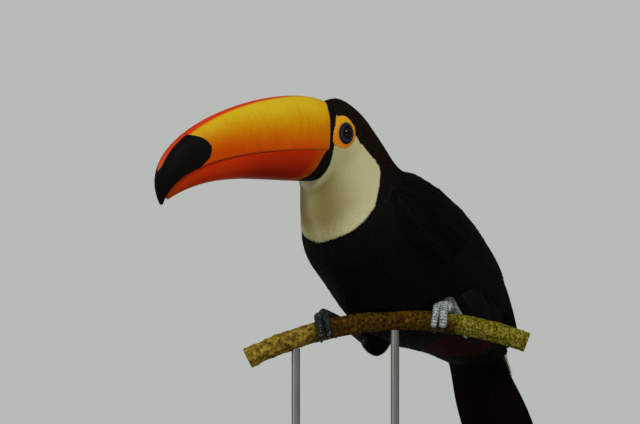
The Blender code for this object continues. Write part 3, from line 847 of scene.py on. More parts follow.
def thigh_at(side):
    """A thigh as a rounded spindle: u from its upper end to its lower, v round it."""
    heel, hip, radius = THIGHS[side]
    heel, hip = np.array(heel), np.array(hip)
    axis = heel - hip
    length = np.linalg.norm(axis) / 2 + 1.2
    axis = unit(axis)
    middle = (heel + hip) / 2
    e1 = unit(np.cross(axis, (0.0, 1.0, 0.0)))
    e2 = np.cross(axis, e1)

    def at(u, v, out=0.0):
        u, v, out = arr(u, v, out)
        turn = math.pi * np.clip(u, 0.0, 1.0)
        p = middle + axis * ((length + out) * -np.cos(turn))[..., None]
        round_ = (radius + out) * np.sin(turn)
        p = p + e1 * (round_ * np.cos(v))[..., None] + e2 * (round_ * np.sin(v))[..., None]
        return bird_to_world(p)

    return at


def build_thigh_coat():
    parts = []
    for k, side in enumerate(THIGHS):
        at = thigh_at(side)

        def weight(u, v):
            return (u > 0.2) * (u < 0.96) * 1.0 + 0 * v

        u, v = scatter(at, (0.15, 0.97), (0, 2 * math.pi), 2400, weight, 60, 60)
        lift = RNG.normal(-0.03, 0.02, len(u))
        vanes = tufts(
            at, u, v, 1.25 * (1.15 - 0.5 * u), 0.075, -0.26, lift, turn=0.10, roll=0.15,
            camber=0.015, shape=SILKY,
        )
        # Painted shade: the right thigh's feathers are painted black for the shade it lies in, the
        # left's slate.
        tone = SLATE if side == "left" else BLACK
        color = vary(plain(tone, len(u)), 0.15)
        parts.append((vanes, color, np.stack([v + 7 * k, u], -1)))
    coat_piece("coat_thighs", FEATHER_BLACK, parts)


def build_wing_coat():
    """Folded wings: small coverts, two covert rows, then flight feathers to the tip."""
    for side, sign in SIDES:
        at = wing_at(sign)
        groups = []

        def add(u, v, length, half, low, high, tone, **more):
            u, v, length, half, low, high = arr(u, v, length, half, low, high)
            vanes = tufts(at, u, v, length, half, low, high, rows=8, **more)
            color = vary(plain(tone, len(u)), 0.18)
            groups.append((vanes, color, np.stack([v, u], -1)))

        blade = {"root": 0.7, "belly": 0.35, "tip": 0.16, "point": 0.42}
        flight = np.array([0.0040, 0.0040, 0.0038])
        # Primaries low down, then secondaries and tertials stepped up the back.
        v = np.linspace(0.86, -0.82, 19)
        reach = np.interp(v, (-0.82, -0.2, 0.5, 0.86), (4.6, 8.2, 10.4, 10.8))
        start = np.interp(v, (-0.82, 0.0, 0.86), (0.34, 0.34, 0.30))
        stack = np.linspace(-0.16, 0.03, len(v))
        add(start, v, reach, 0.62, stack - 0.06, stack, flight, dv=-0.12 * v,
            camber=0.05, shape=blade, bend=0.8)
        v = np.linspace(0.90, -0.88, 15)
        add(0.27, v, 3.6, 0.56, -0.10, 0.035, BLACK, camber=0.05, shape=blade)
        v = np.linspace(0.92, -0.92, 18)
        add(0.19 + 0 * v, v, 2.7, 0.46, -0.10, 0.045, BLACK, camber=0.045, shape=blade)
        u, v = scatter(at, (0.0, 0.24), (-0.96, 0.96), 420, everywhere)
        add(u, v, 1.15 + 2.2 * u, 0.24 + 0.4 * u, -0.12, RNG.normal(0.02, 0.012, len(u)),
            BLACK, camber=0.03, turn=0.08, roll=0.1)
        coat_piece(f"wing_feathers_{side}", FEATHER_VANE, groups, cols=5)

    # Scapulars drape from the back over the upper edge of each wing.
    def weight(u, a):
        top = curve(WING, u, 1)
        return (u > 4.9) * (u < 8.6) * (a > top - 16) * (a < top + 6) * 1.0

    u, v, a = body_roots((4.8, 8.8), 620, weight)
    vanes = tufts(
        over_wing_at, u, v, 2.4, 0.34, -0.22, RNG.normal(0.02, 0.02, len(u)), dv=0.12 * np.sign(v),
        turn=0.08, roll=0.12, camber=0.035, rows=6,
    )
    color = vary(plain(BLACK, len(u)), 0.15)
    coat_piece("coat_scapulars", FEATHER_VANE,
               [(vanes, color, np.stack([v, u], -1))])


def wing_lift(u, v):
    """How far a folded wing stands over the body, at any place."""
    u, v = arr(u, v)
    a = folded(v)
    top, low, thick, under = wing_table(u)
    w = np.clip((2 * a - top - low) / np.maximum(low - top, 1.0), -1.0, 1.0)
    inside = (u > WING[0][0]) & (u < WING[-1][0]) & (np.abs(w) < 1)
    return np.where(inside, wing_height(w, thick, under), 0.0)


def over_wing_at(u, v, out=0.0):
    return body_at(u, v, np.asarray(out) + wing_lift(u, v))


# --------------------------------------------------------------------- tail
def tail_frame():
    root = np.array([TAIL_ROOT[0], 0.0, TAIL_ROOT[1]])
    tip = np.array([TAIL_TIP[0], 0.0, TAIL_TIP[1]])
    along = unit(tip - root)
    under = np.cross(along, (0.0, 1.0, 0.0))
    return root, np.linalg.norm(tip - root), along, under


def tail_at(face):
    """A side of the tail: u down its length, v across, face 1 under and -1 above."""
    root, length, along, under = tail_frame()

    def at(u, v, out=0.0):
        u, v, out = arr(u, v, out)
        half = TAIL_HALF[0] + (TAIL_HALF[1] - TAIL_HALF[0]) * u
        thick = 1.15 + (0.2 - 1.15) * np.clip(u, 0, 1) ** 0.6
        arch = thick * np.clip(1 - (np.abs(v) / 1.05) ** 2, 0, 1) ** 0.5 + out
        p = root + along * (length * u)[..., None] + under * (face * arch)[..., None]
        p = p + ACROSS * (half * v)[..., None]
        return bird_to_world(p)

    return at


def build_tail_feathers():
    """Ten broad tail feathers, the middle pair on top."""
    root, length, along, under = tail_frame()
    rows = 22
    t = 1 - (1 - np.linspace(0, 1, rows)) ** 1.3
    centre, side, normal, half, rise = [], [], [], [], []
    for pair in range(5):
        for sign in (1, -1):
            root_y = sign * (0.28 + 0.57 * pair)
            tip_y = sign * (0.42 + 0.78 * pair)
            reach = length * (1.0 - 0.016 * pair**1.5) + 0.1
            # The middle pair lies over the skin, and comes down on the others past its end.
            depth = (-0.34, 0.02, 0.06, 0.10, 0.14)[pair] + (0.015 if sign > 0 else 0.0)
            depth = depth + (0.33 * ease(0.44, 0.60, t) if pair == 0 else 0.0)
            line = (
                root
                + along * (0.4 + (reach - 0.4) * t)[:, None]
                + ACROSS * (root_y + (tip_y - root_y) * t)[:, None]
                + under * (depth + 0.10 * t * t)[:, None]
            )
            way = unit(np.gradient(line, axis=0))
            across = unit(np.cross(way, under))
            tilt = 0.035 * sign
            lean = across * math.cos(tilt) + under * math.sin(tilt)
            centre.append(line)
            side.append(lean)
            normal.append(unit(np.cross(lean, way)))
            half.append(1.02 * vane_width(t, root=0.62, belly=0.45, tip=0.14, point=0.36))
            rise.append(np.full(rows, 0.055) * (1 - 0.6 * t))
    centre = bird_to_world(np.array(centre))
    origin = bird_to_world(np.zeros(3))

    def turn(vectors):
        return bird_to_world(np.array(vectors) / CM) - origin

    side, normal = unit(turn(side)), unit(turn(normal))
    vanes = [centre, side, normal, np.array(half) * CM, np.array(rise) * CM]
    tone = np.array([0.0052, 0.0032, 0.0028])
    color = vary(plain(tone, 10), 0.15)
    uv = np.stack([np.linspace(0, 1, 10), np.tile([0.0, 1.0], 5)], -1)
    coat_piece("tail_feathers", FEATHER_VANE, [(vanes, color, uv)], cols=9)


def build_tail_coverts():
    """Dark coverts under the base of the tail, pale ones above it."""
    for name, face, tone, count, reach, start, mat, slot in (
        ("coat_undertail", 1, BLACK, 1100, 1.7, -0.03, FEATHER_VANE, "black_plumage"),
        ("coat_rump", -1, WHITE, 900, 1.9, -0.12, FEATHER_WHITE, "white_plumage"),
    ):
        at = tail_at(face)
        u, v = scatter(at, (start, 0.05), (-0.92, 0.92), count, everywhere, 40, 60)
        vanes = tufts(
            at, u, v, reach * (1.0 - 0.25 * np.abs(v)), 0.13, -0.30,
            RNG.normal(-0.26, 0.02, len(u)), turn=0.06, roll=0.12, camber=0.02, rows=5,
        )
        if face < 0:
            # The outermost pale coverts show as a thin line down each side of the tail.
            edge_u = np.tile(np.linspace(-0.20, 0.03, 22), 2)
            edge_v = np.repeat([-0.91, 0.91], 22)
            line = tufts(at, edge_u, edge_v, 1.5, 0.05, -0.15, -0.05, rows=5, camber=0.01)
            vanes = [np.concatenate(pair) for pair in zip(vanes, line)]
            u, v = np.concatenate([u, edge_u]), np.concatenate([v, edge_v])
        color = vary(plain(tone, len(u)), 0.12)
        coat_piece(name, mat, [(vanes, color, np.stack([v, u], -1))])


# --------------------------------------------------------------------- skin
def clear_of_perch(p, least=1.0):
    """Moves points of the bird out of the perch and away from the toes."""
    q = np.array(p, float) / CM
    x, dy = q[..., 0], q[..., 1]
    dz = q[..., 2] - PERCH_HEIGHT - perch_z(x)
    room = np.full(x.shape, least)
    for foot_x, _ in FEET.values():
        room = room + 0.80 * (1 - ease(0.70, 1.25, np.abs(x - foot_x)))
    # Behind the branch, away from its axis. In front of it, up over its top,
    # or for a point lower than that, through to its back.
    away = np.hypot(np.maximum(dy, 0.0), dz)
    scale = room / np.maximum(away, 1e-6)
    front = dy < 0
    low = front & (dz < 0.15)
    y = np.where(front, dy, dy * scale)
    z = np.where(front, room, dz * scale)
    y = np.where(low, np.sqrt(np.maximum(room**2 - dz**2, 0.01)), y)
    z = np.where(low, dz, z)
    inside = (np.abs(dz) < room) & (front | (away < room))
    inside &= (x > PERCH_START - 1) & (x < PERCH_END + 1)
    moved = np.stack([x, y, PERCH_HEIGHT + perch_z(x) + z], -1)
    return np.where(inside[..., None], moved, q) * CM


def perch_z(x):
    """How far the arched branch stands over its height at each x."""
    return PERCH_LIFT - PERCH_DROOP * (x - PERCH_CREST) ** 2


def build_skin():
    shells = []
    u = np.linspace(-0.02, 12.1, 110)[:, None]
    v = circle(110)[None]
    inset = 0.07 + 0.03 * ease(0.8, 3.0, u) + 0.24 * ease(4.8, 7.0, u)
    shells.append(loft(body_at(u, v, -inset)))
    for sign in (1, -1):
        at = wing_at(sign)
        u = np.linspace(0.02, 0.97, 60)[:, None]
        v = np.sin(np.linspace(-1, 1, 40) * math.pi / 2)[None] * 0.97
        outer = at(u, v, -0.24)
        joins = ease(10.8, 9.6, wing_station(u))
        inner = wing_at(sign, False)(u, v[:, ::-1] * 0.97, 0.12 - 1.4 * joins)
        ring = np.concatenate([outer, inner[:, 1:-1]], 1)
        shells.append(loft(ring))
    root, length, along, under = tail_frame()
    t = np.linspace(-0.18, 0.48, 30)
    a = circle(40)
    half = np.interp(t, (-0.18, 0.05, 0.28, 0.48), (TAIL_HALF[0] - 0.35,) * 2 + (1.3, 1.2))
    thick = np.interp(t, (-0.18, 0.05, 0.28, 0.48), (0.9, 0.7, 0.16, 0.13))
    lower = np.interp(t, (0.05, 0.28), (0.0, -0.16))
    ring = (
        (root + along * (length * t)[:, None])[:, None]
        + ACROSS * (half[:, None] * np.cos(a))[..., None]
        + under * (lower[:, None] + thick[:, None] * np.sin(a))[..., None]
    )
    shells.append(loft(bird_to_world(ring)))
    for side in THIGHS:
        at = thigh_at(side)
        u = np.linspace(0.03, 0.97, 30)[:, None]
        v = circle(40)[None]
        shells.append(loft(at(u, v, -0.25)))
    verts, faces, start = [], [], 0
    for points, groups in shells:
        verts.append(points)
        faces += [np.asarray(g) + start for g in groups]
        start += len(points)
    ob = fast_mesh("skin", np.concatenate(verts), faces)
    remesh = ob.modifiers.new("one_skin", "REMESH")
    remesh.mode = "VOXEL"
    remesh.voxel_size = SKIN_CELL
    smooth = ob.modifiers.new("soften", "SMOOTH")
    smooth.factor = 0.5
    smooth.iterations = SKIN_PASSES
    ob = realised(ob)
    me = ob.data
    co = clear_of_perch(read(me.vertices, "co", 3), 0.97)
    me.vertices.foreach_set("co", co.astype(np.float32).ravel())
    paint(ob, co)
    outward(ob)
    me.materials.append(skin_material())
    me.polygons.foreach_set("use_smooth", np.ones(len(me.polygons), bool))
    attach(ob, "root")
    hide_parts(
        "head", "neck", "trunk", "wing_left", "wing_right", "tail",
        "thigh_left", "thigh_right",
    )


def realised(ob):
    """The object with its modifiers turned into mesh."""
    graph = bpy.context.evaluated_depsgraph_get()
    bpy.context.view_layer.update()
    made = bpy.data.meshes.new_from_object(ob.evaluated_get(graph), depsgraph=graph)
    old = ob.data
    ob.modifiers.clear()
    ob.data = made
    name = old.name
    bpy.data.meshes.remove(old)
    made.name = name
    return ob


def body_grid(low, high, rows, cols):
    """A grid of places on the body: their stations, angles and points."""
    u = np.linspace(low, high, rows)
    v = np.linspace(-math.pi, math.pi, cols, endpoint=False)
    uu, vv = np.meshgrid(u, v, indexing="ij")
    return uu, vv, body_at(uu, vv, 0.0)


def paint(ob, co):
    """The skin's markings, from the nearest place of the body, tail, wing or thigh."""
    uu, vv, p = body_grid(0.0, 12.0, 150, 150)
    points = [p.reshape(-1, 3)]
    tones = [coat_color(uu.ravel(), folded(vv.ravel()), skin=True)]
    for sign in (1, -1):
        u, v = np.meshgrid(np.linspace(0, 1, 40), np.linspace(-1, 1, 30), indexing="ij")
        points.append(wing_at(sign)(u, v, -0.2).reshape(-1, 3))
        tones.append(plain(BLACK, u.size))
    u, v = np.meshgrid(np.linspace(0.1, 1, 40), np.linspace(-1, 1, 30), indexing="ij")
    for face in (1, -1):
        points.append(tail_at(face)(u, v).reshape(-1, 3))
        tones.append(plain(BLACK, u.size))
    for side in THIGHS:
        u, v = np.meshgrid(np.linspace(0.2, 1, 30), np.linspace(0, 6.2, 40), indexing="ij")
        points.append(thigh_at(side)(u, v).reshape(-1, 3))
        tones.append(plain(SLATE, u.size))
    points = np.concatenate(points)
    tones = np.concatenate(tones)
    tree = KDTree(len(points))
    for i, q in enumerate(points.tolist()):
        tree.insert(q, i)
    tree.balance()
    nearest = [tree.find(q)[1] for q in co.tolist()]
    add_coat(ob.data, tones[nearest])


def skin_material():
    n = Nodes("bird_skin", 0.6)
    color = n.attribute("coat", "Color")
    grain = n.noise(1400.0, 4.0)
    patchy = n.noise(160.0, 3.0)
    shade = n.line(grain, 0.5, 0.65)
    shade = n.line(patchy, 0.3, shade)
    color = n.shaded(color, shade)
    normal = n.bump(n.math("ADD", grain, n.voronoi(700.0)), 0.4, 0.0004)
    return n.done(color, n.line(grain, 0.2, 0.6), normal, 0.02)


# --------------------------------------------------------------------- bill
def bill_half_width(s):
    return BILL_HALF_WIDTH * (1 - np.clip(s, 0, 1) ** 2.6) ** 0.9 + 0.06


TIP_PATCH = ((-4.8, 14.9), (-4.0, 14.75), (-3.2, 14.2), (-2.5, 13.65), (-1.57, 12.5),
             (-0.76, 11.68), (-0.1, 11.46), (0.25, 11.5), (0.7, 11.85), (0.95, 12.3),
             (1.12, 13.0), (1.45, 14.5), (3.0, 16.0))
BASE_RING = ((-2.7, 2.40), (-2.35, 2.05), (-2.2, 1.73), (-1.6, 1.28), (-0.85, 0.96),
             (-0.5, 0.74), (-0.3, 0.58), (-0.1, 0.48), (0.0, 0.17), (1.55, -0.04),
             (2.6, -0.20), (3.4, -0.30), (3.9, -0.55), (4.3, -0.75))


def mandible(name, edge, ridge, reach, width, shape, mat, node):
    """Half of the bill, between its cutting edge and its ridge."""
    steps, arc = 190, 88
    k = np.linspace(0, 1, steps)
    s = (-0.036 + (1.036 * (1 - (1 - k) ** 1.3))) * reach
    e, r = edge(s), bezier(ridge, s)
    half = width * bill_half_width(s) + 0.05 * ease(0.0, -0.03, s)
    a = math.pi * np.linspace(-0.5, 0.5, arc + 1)
    rise = np.clip(np.cos(a), 0, 1) ** 0.92
    rise[[0, -1]] = 0.0
    side = np.sign(np.sin(a)) * np.abs(np.sin(a)) ** shape
    swell = 1 + 0.10 * ease(0.0, -0.036, s) * 0.25
    flat = e[:, None] + (r - e)[:, None] * (rise[None, :, None] * swell[:, None, None])
    ring = np.stack([flat[..., 0], half[:, None] * side, flat[..., 1]], -1)
    # Faint growth waves, none at the ridge or at the cutting edge.
    wave = 0.010 * np.sin(s * 95 + 3 * np.sin(s * 31)) * ease(0.9, 0.1, s)
    out = ring - ring.mean(1, keepdims=True)
    ring = ring + unit(out) * (wave[:, None] * np.sin(np.pi * rise)[None])[..., None]
    floor = np.stack([np.stack([e[:, 0], half * q, e[:, 1]], -1) for q in (0.5, 0.0, -0.5)], 1)
    rings = np.concatenate([ring, floor], 1)
    verts, faces = loft(rings)
    rise_all = np.concatenate([rise, [0, 0, 0]])
    rise_all = np.broadcast_to(rise_all, rings.shape[:2]).ravel()
    gap = np.linalg.norm(np.diff(ring, axis=1), axis=-1)
    way = np.concatenate([np.zeros((steps, 1)), np.cumsum(gap, 1)], 1)
    ridge_gap = np.abs(way - way[:, [arc // 2]])
    ridge_gap = np.concatenate([ridge_gap, np.full((steps, 3), 9.0)], 1).ravel()
    ends = np.zeros(2)
    x, z = verts[:, 0], verts[:, 2]
    fields = {
        "rise": np.concatenate([rise_all, ends]),
        "ridge": np.concatenate([ridge_gap, ends + 9]),
        "tip": x - curve(TIP_PATCH, z),
        "ring": x - curve(BASE_RING, z),
        "along": np.concatenate([np.repeat(s, rings.shape[1]), [s[0], s[-1]]]),
    }
    ob = fast_mesh(name, head_to_world(verts), faces, points=fields)
    ob.data.materials.append(mat)
    outward(ob)
    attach(ob, "root")
    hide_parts(node)
    return ob


def bill_material(upper):
    n = Nodes("bill_horn_upper" if upper else "bill_horn_lower", 0.34)
    rise = n.attribute("rise")
    ridge = n.attribute("ridge")
    ring = n.attribute("ring")
    tip = n.attribute("tip")
    along = n.attribute("along")
    streaks = n.noise(60.0, 5.0, 0.6, n.vector(n.times(along, 2.2),
                                               n.times(rise, 0.05), 0.0))
    cloud = n.noise(55.0, 4.0, 0.5)
    fine = n.noise(420.0, 4.0, 0.6)
    level = n.stray(streaks, 0.34, rise)
    level = n.stray(cloud, 0.22, level)
    if upper:
        level = n.math("SUBTRACT", level, n.times(n.band(along, 0.30, 0.62), 0.20))
        color = n.ramp(level, (
            (0.0, (0.76, 0.078, 0.0003)), (0.16, (0.79, 0.125, 0.0003)),
            (0.36, (0.82, 0.23, 0.0004)), (0.58, (0.86, 0.42, 0.002)),
            (0.80, (0.92, 0.64, 0.016)), (1.0, (0.95, 0.66, 0.022))))
        base = n.ramp(level, ((0.0, (0.62, 0.120, 0.0003)), (0.45, (0.74, 0.25, 0.0004)),
                              (0.75, (0.90, 0.45, 0.001)), (1.0, (0.97, 0.54, 0.001))))
        color = n.mix(n.band(along, 0.16, 0.0), color, base)
        stripe = n.times(n.band(ridge, 0.85, 0.45), n.band(along, 0.10, 0.26))
        color = n.mix(stripe, color, (0.95, 0.050, 0.002))
        # Toward the tip the yellow turns a red orange, and ends in the black patch.
        color = n.mix(n.times(n.band(along, 0.55, 0.9), 0.6), color,
                      (0.78, 0.12, 0.001))
        wobble = n.stray(fine, 0.10, tip)
        free = n.line(n.band(along, 0.80, 0.90), 0.9, ridge)
        patch = n.times(n.band(wobble, -0.05, 0.05), n.band(free, 0.28, 0.38))
        color = n.mix(patch, color, (0.003, 0.003, 0.002))
    else:
        color = n.ramp(level, (
            (0.0, (0.60, 0.034, 0.0003)), (0.3, (0.54, 0.022, 0.0003)),
            (0.65, (0.44, 0.012, 0.0003)), (1.0, (0.32, 0.009, 0.0003))))
        color = n.mix(n.times(n.band(along, 0.35, 0.65), 0.7), color,
                      (0.84, 0.046, 0.0003))
        rim = n.times(n.band(ring, 1.3, 0.0), 0.85)
        color = n.mix(rim, color, (0.52, 0.095, 0.001))
        color = n.mix(n.band(along, 0.80, 0.97), color, (0.62, 0.06, 0.001))
        patch = 0.0
    wobble = n.stray(fine, 0.08, ring)
    collar = n.band(wobble, 0.03, -0.03)
    color = n.mix(collar, color, (0.004, 0.004, 0.003))
    shade = n.line(fine, 0.16, 0.92)
    color = n.shaded(color, shade)
    # Painted shade: a dark red line along the cutting edge, where the mandibles meet.
    edge = n.band(rise, 0.02, 0.0)
    color = n.mix(n.times(edge, 0.15), color, (0.30, 0.04, 0.004))
    height = n.line(streaks, 0.8, n.times(fine, 0.25))
    rough = n.line(cloud, 0.18, 0.30)
    # The black parts are duller than the coloured horn.
    rough = n.line(n.math("MAXIMUM", patch, collar), 0.30, rough)
    return n.done(color, rough, n.bump(height, 0.20, 0.0006), 0.09)


def build_bill():
    mandible("bill_upper_horn", lambda s: bezier(TOMIUM, s), CULMEN, 0.985, 1.0, 0.85,
             bill_material(True), "bill_upper")

    def lower_edge(s):
        p = bezier(TOMIUM, s * 0.93)
        return p - np.stack([0.03 * s, 0.006 + 0 * s], -1)

    mandible("bill_lower_horn", lower_edge, GONYS, 0.975, 0.993, 0.75,
             bill_material(False), "bill_lower")


# --------------------------------------------------------------------- eyes
EYE_PLACE = (1.05, math.radians(76.0))
EYE_BALL, EYE_STANDS = 0.58, 0.21
EYE_OPENING = (0.39, 0.53)
EYE_SHIFT = (-0.06, 0.10)
EYE_LEAN = math.radians(17.0)
LID_HALF = (0.56, 0.89)
EYE_SKIN_REACH = 1.95


def eye_frame(sign):
    """Where an eye sits on the head, then its directions outward, ahead and up."""
    u, v = EYE_PLACE[0], sign * EYE_PLACE[1]
    spot = body_at(u, v)
    n = normal_at(body_at, np.array(u), np.array(v), np.array(0.0), spot)
    ahead = head_to_world(np.array([1.0, 0, 0])) - head_to_world(np.zeros(3))
    ahead = unit(ahead - n * (ahead @ n))
    up = np.cross(n, ahead) * sign
    if up[2] < 0:
        up = -up
    c, s = math.cos(EYE_LEAN), math.sin(EYE_LEAN)
    return spot, n, ahead * c + up * s, up * c - ahead * s


def build_eyeball(side, mat, spot, n, ahead, up):
    """An eyeball with its clear bulge over the iris."""
    shift = ahead * EYE_SHIFT[0] + up * EYE_SHIFT[1]
    middle = spot + (shift - n * (EYE_BALL - EYE_STANDS)) * CM
    turn = np.linspace(0.001, math.pi * 0.62, 60)[:, None]
    round_ = circle(72)[None]
    r = EYE_BALL * (1 + 0.035 * np.exp(-((turn / 0.42) ** 2)))
    flat = (r * np.sin(turn))[..., None] * (
        ahead * np.cos(round_)[..., None] + up * np.sin(round_)[..., None])
    ball = middle + (flat + n * (r * np.cos(turn))[..., None]) * CM
    verts, faces = loft(ball)
    disc = np.concatenate([np.repeat(np.degrees(turn[:, 0]), 72), [0, 110]])
    ob = fast_mesh(f"eyeball_{side}", verts, faces, points={"disc": disc})
    ob.data.materials.append(mat)
    outward(ob)
    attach(ob, "root")
    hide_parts(f"eye_{side}")


def build_eye_skin(side, mat, head, spot, n, ahead, up):
    """Lids, blue ring and bare orange skin, from the opening outward."""
    tree, uu, vv = head
    th = circle(128)
    way = np.stack([np.cos(th), np.sin(th)], -1)
    oval = way * np.array(LID_HALF)
    opening = np.array(EYE_SHIFT) + way * np.array(EYE_OPENING)
    w = np.concatenate([[-0.10, -0.05], np.linspace(0, 1, 22)])
    inner = opening[None] + (oval - opening)[None] * w[:, None, None]
    far = np.linspace(0, 1, 44)[1:] ** 1.1
    outer = oval[None] + (way * EYE_SKIN_REACH - oval)[None] * far[:, None, None]
    flat = np.concatenate([inner, outer])
    rho = np.concatenate([w, 1 + far * 1.5])[:, None] + 0 * th[None]
    # The body's surface under each point, by a ray from outside. On a miss these stay.
    base, grid_u, grid_a = (np.full(flat.shape[:2], value) for value in (-9.0, -0.5, 20.0))
    for i, j in np.ndindex(flat.shape[:2]):
        start = spot + (ahead * flat[i, j, 0] + up * flat[i, j, 1] + n * 3) * CM
        hit, _, face, far_off = tree.ray_cast(start.tolist(), (-n).tolist())
        if hit is not None:
            base[i, j] = 3 - far_off / CM
            grid_u[i, j] = uu.flat[face]
            grid_a[i, j] = folded(vv.flat[face])
    away = np.hypot(flat[..., 0] - EYE_SHIFT[0], flat[..., 1] - EYE_SHIFT[1])
    sphere = EYE_STANDS - EYE_BALL + np.sqrt(np.maximum(EYE_BALL**2 - away**2, 0.0))
    ring_top = 0.10 * np.sin(math.pi * np.clip(rho * 0.80 + 0.14, 0, 1)) ** 0.8
    folds = 0.010 * np.sin(rho * 34 + 0.6 * np.sin(th * 5)) * ease(0.0, 0.25, rho)
    lid = np.maximum(base + ring_top, sphere + 0.035) + folds * (rho < 1)
    bare = bare_skin(grid_u, grid_a)
    pebble = grain_at(flat, 9.0) * 0.022 + np.abs(grain_at(flat + 7, 4.0)) * 0.02
    pebble = pebble * ease(0.05, 0.5, grid_u)
    radial = 0.008 * np.sin(th * 22 + rho * 6) * ease(2.0, 1.0, rho)
    face_skin = base + 0.015 + pebble + radial - 0.02 * ease(1.12, 1.0, rho)
    face_skin = face_skin - 0.24 * ease(1.0, -4.5, bare)
    mixed = ease(0.92, 1.10, rho)
    height = lid * (1 - mixed) + face_skin * mixed
    height = np.where(rho < 0, sphere + rho * 0.5, height)
    xyz = spot + (
        ahead * flat[..., :1] + up * flat[..., 1:] + n * height[..., None]) * CM
    fields = {"rho": rho, "bare": bare, "tall": flat[..., 1]}
    faces = grid_faces(*flat.shape[:2])
    found = ((base > -1.1) & (bare > -2.5)).ravel()
    faces = faces[found[faces].all(1)]
    used, index = np.unique(faces, return_inverse=True)
    fields = {key: value.ravel()[used] for key, value in fields.items()}
    tone = coat_color(grid_u.ravel()[used] + 0.1, grid_a.ravel()[used])
    ob = fast_mesh(
        f"eye_skin_{side}", xyz.reshape(-1, 3)[used], [index.reshape(-1, 4)],
        points=fields, coat=tone)
    ob.data.materials.append(mat)
    face_out(ob, n)
    thicken = ob.modifiers.new("thickness", "SOLIDIFY")
    thicken.thickness = 0.0004
    thicken.offset = -1
    realised(ob)
    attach(ob, "root")


def build_eyes():
    rows, cols = 260, 420
    uu, vv, p = body_grid(-0.6, 3.6, rows, cols)
    tree = BVHTree.FromPolygons(p.reshape(-1, 3).tolist(), grid_faces(rows, cols).tolist())
    lid_mat, ball_mat = lid_material(), eye_material()
    for side, sign in SIDES:
        place = eye_frame(sign)
        build_eyeball(side, ball_mat, *place)
        build_eye_skin(side, lid_mat, (tree, uu, vv), *place)


def face_out(ob, n):
    """Turns an open sheet so that its faces look along n."""
    me = ob.data
    if (read(me.polygons, "normal", 3) @ n).sum() < 0:
        me.flip_normals()


def grain_at(flat, scale):
    """One octave of noise over the places of a flat grid."""
    shape = flat.shape[:2]
    values = [noise.noise((x * scale, y * scale, 0.7)) for x, y in flat.reshape(-1, 2).tolist()]
    return np.array(values).reshape(shape)


def lid_material():
    n = Nodes("bare_face_skin", 0.42)
    rho = n.attribute("rho")
    tall = n.attribute("tall")
    mottle = n.noise(700.0, 4.0, 0.6)
    coarse = n.noise(220.0, 3.0)
    # The bare skin is yellower and brighter toward its top: partly its own tone, partly painted
    # light from above.
    orange = n.ramp(n.line(tall, 0.32, 0.5), (
        (0.0, (0.80, 0.24, 0.004)), (0.35, (0.90, 0.30, 0.004)),
        (0.62, (1.0, 0.42, 0.006)), (1.0, (1.0, 0.52, 0.010))))
    orange = n.mix(n.times(coarse, 0.16), orange, (0.62, 0.12, 0.004))
    # Painted shade: a brown band round the outside of the blue ring.
    rim = n.times(n.band(rho, 1.42, 1.12), 0.40)
    orange = n.mix(rim, orange, (0.40, 0.11, 0.004))
    wobble = n.stray(mottle, 0.10, rho)
    blue = n.ramp(wobble, (
        (0.0, (0.006, 0.006, 0.010)), (0.08, (0.008, 0.012, 0.035)),
        (0.20, (0.006, 0.012, 0.035)), (0.60, (0.014, 0.031, 0.092)),
        (0.84, (0.008, 0.016, 0.055)), (0.92, (0.002, 0.002, 0.004)),
        (1.0, (0.003, 0.003, 0.004))))
    orange = n.mix(n.band(n.attribute("bare"), 0.4, -0.8), orange, n.attribute("coat", "Color"))
    color = n.mix(n.band(wobble, 1.06, 1.13), blue, orange)
    shade = n.line(mottle, 0.4, 0.8)
    color = n.shaded(color, shade)
    height = n.math("ADD", mottle, n.voronoi(900.0))
    return n.done(
        color, n.line(mottle, 0.2, 0.34), n.bump(height, 0.35, 0.0004), 0.12)


def eye_material():
    n = Nodes("eye_gloss", 0.05)
    disc = n.attribute("disc")
    fibre = n.noise(900.0, 3.0)
    level = n.stray(fibre, 3.0, disc)
    color = n.ramp(n.math("DIVIDE", level, 90.0), (
        (0.0, (0.002, 0.002, 0.003)), (0.245, (0.002, 0.002, 0.003)),
        (0.265, (0.014, 0.006, 0.003)), (0.42, (0.010, 0.004, 0.003)),
        (0.47, (0.004, 0.003, 0.003)), (0.60, (0.010, 0.010, 0.016))))
    n.shader.inputs["Coat Weight"].default_value = 0.12
    n.shader.inputs["Coat Roughness"].default_value = 0.02
    rough = n.line(fibre, 0.04, 0.05)
    return n.done(color, rough, n.bump(fibre, 0.02, 0.0001), 0.2)


# --------------------------------------------------------------------- feet
def rings_round(path, side, top, wide, tall, radii):
    """Rings about a path, wide and tall being each ring's outline along side and top."""
    ring = side[:, None] * wide[None, :, None] + top[:, None] * tall[None, :, None]
    return path[:, None] + ring * radii[..., None]


def tube_rings(path, radii, sides, up):
    """Round rings about a path that doesn't run along up."""
    way = unit(np.gradient(path, axis=0))
    side = unit(np.cross(way, up))
    top = np.cross(side, way)
    a = circle(sides)
    if radii.ndim == 1:
        radii = radii[:, None]
    return rings_round(path, side, top, np.cos(a), np.sin(a), radii)


def through(points, count):
    """A smooth path through a few points."""
    points = np.asarray(points, float)
    t = np.linspace(0, len(points) - 1, count)
    return np.stack([spline(points[:, i], t) for i in range(points.shape[1])], -1)


def foot_to_world(x, p):
    """A point of a foot's own frame: along the branch at x, back, and up from its axis."""
    slope = math.atan(-2 * PERCH_DROOP * (x - PERCH_CREST))
    p = np.asarray(p, float)
    c, s = math.cos(slope), math.sin(slope)
    out = np.stack([x + c * p[..., 0] - s * p[..., 2], p[..., 1],
                    PERCH_HEIGHT + perch_z(x) + s * p[..., 0] + c * p[..., 2]], -1)
    return out * CM


def scutes(length, width=TOE_SCALE):
    """A saw of overlapping scales along a toe or leg."""
    t = (length / width) % 1.0
    return np.where(t < 0.82, t / 0.82, (1 - t) / 0.18)


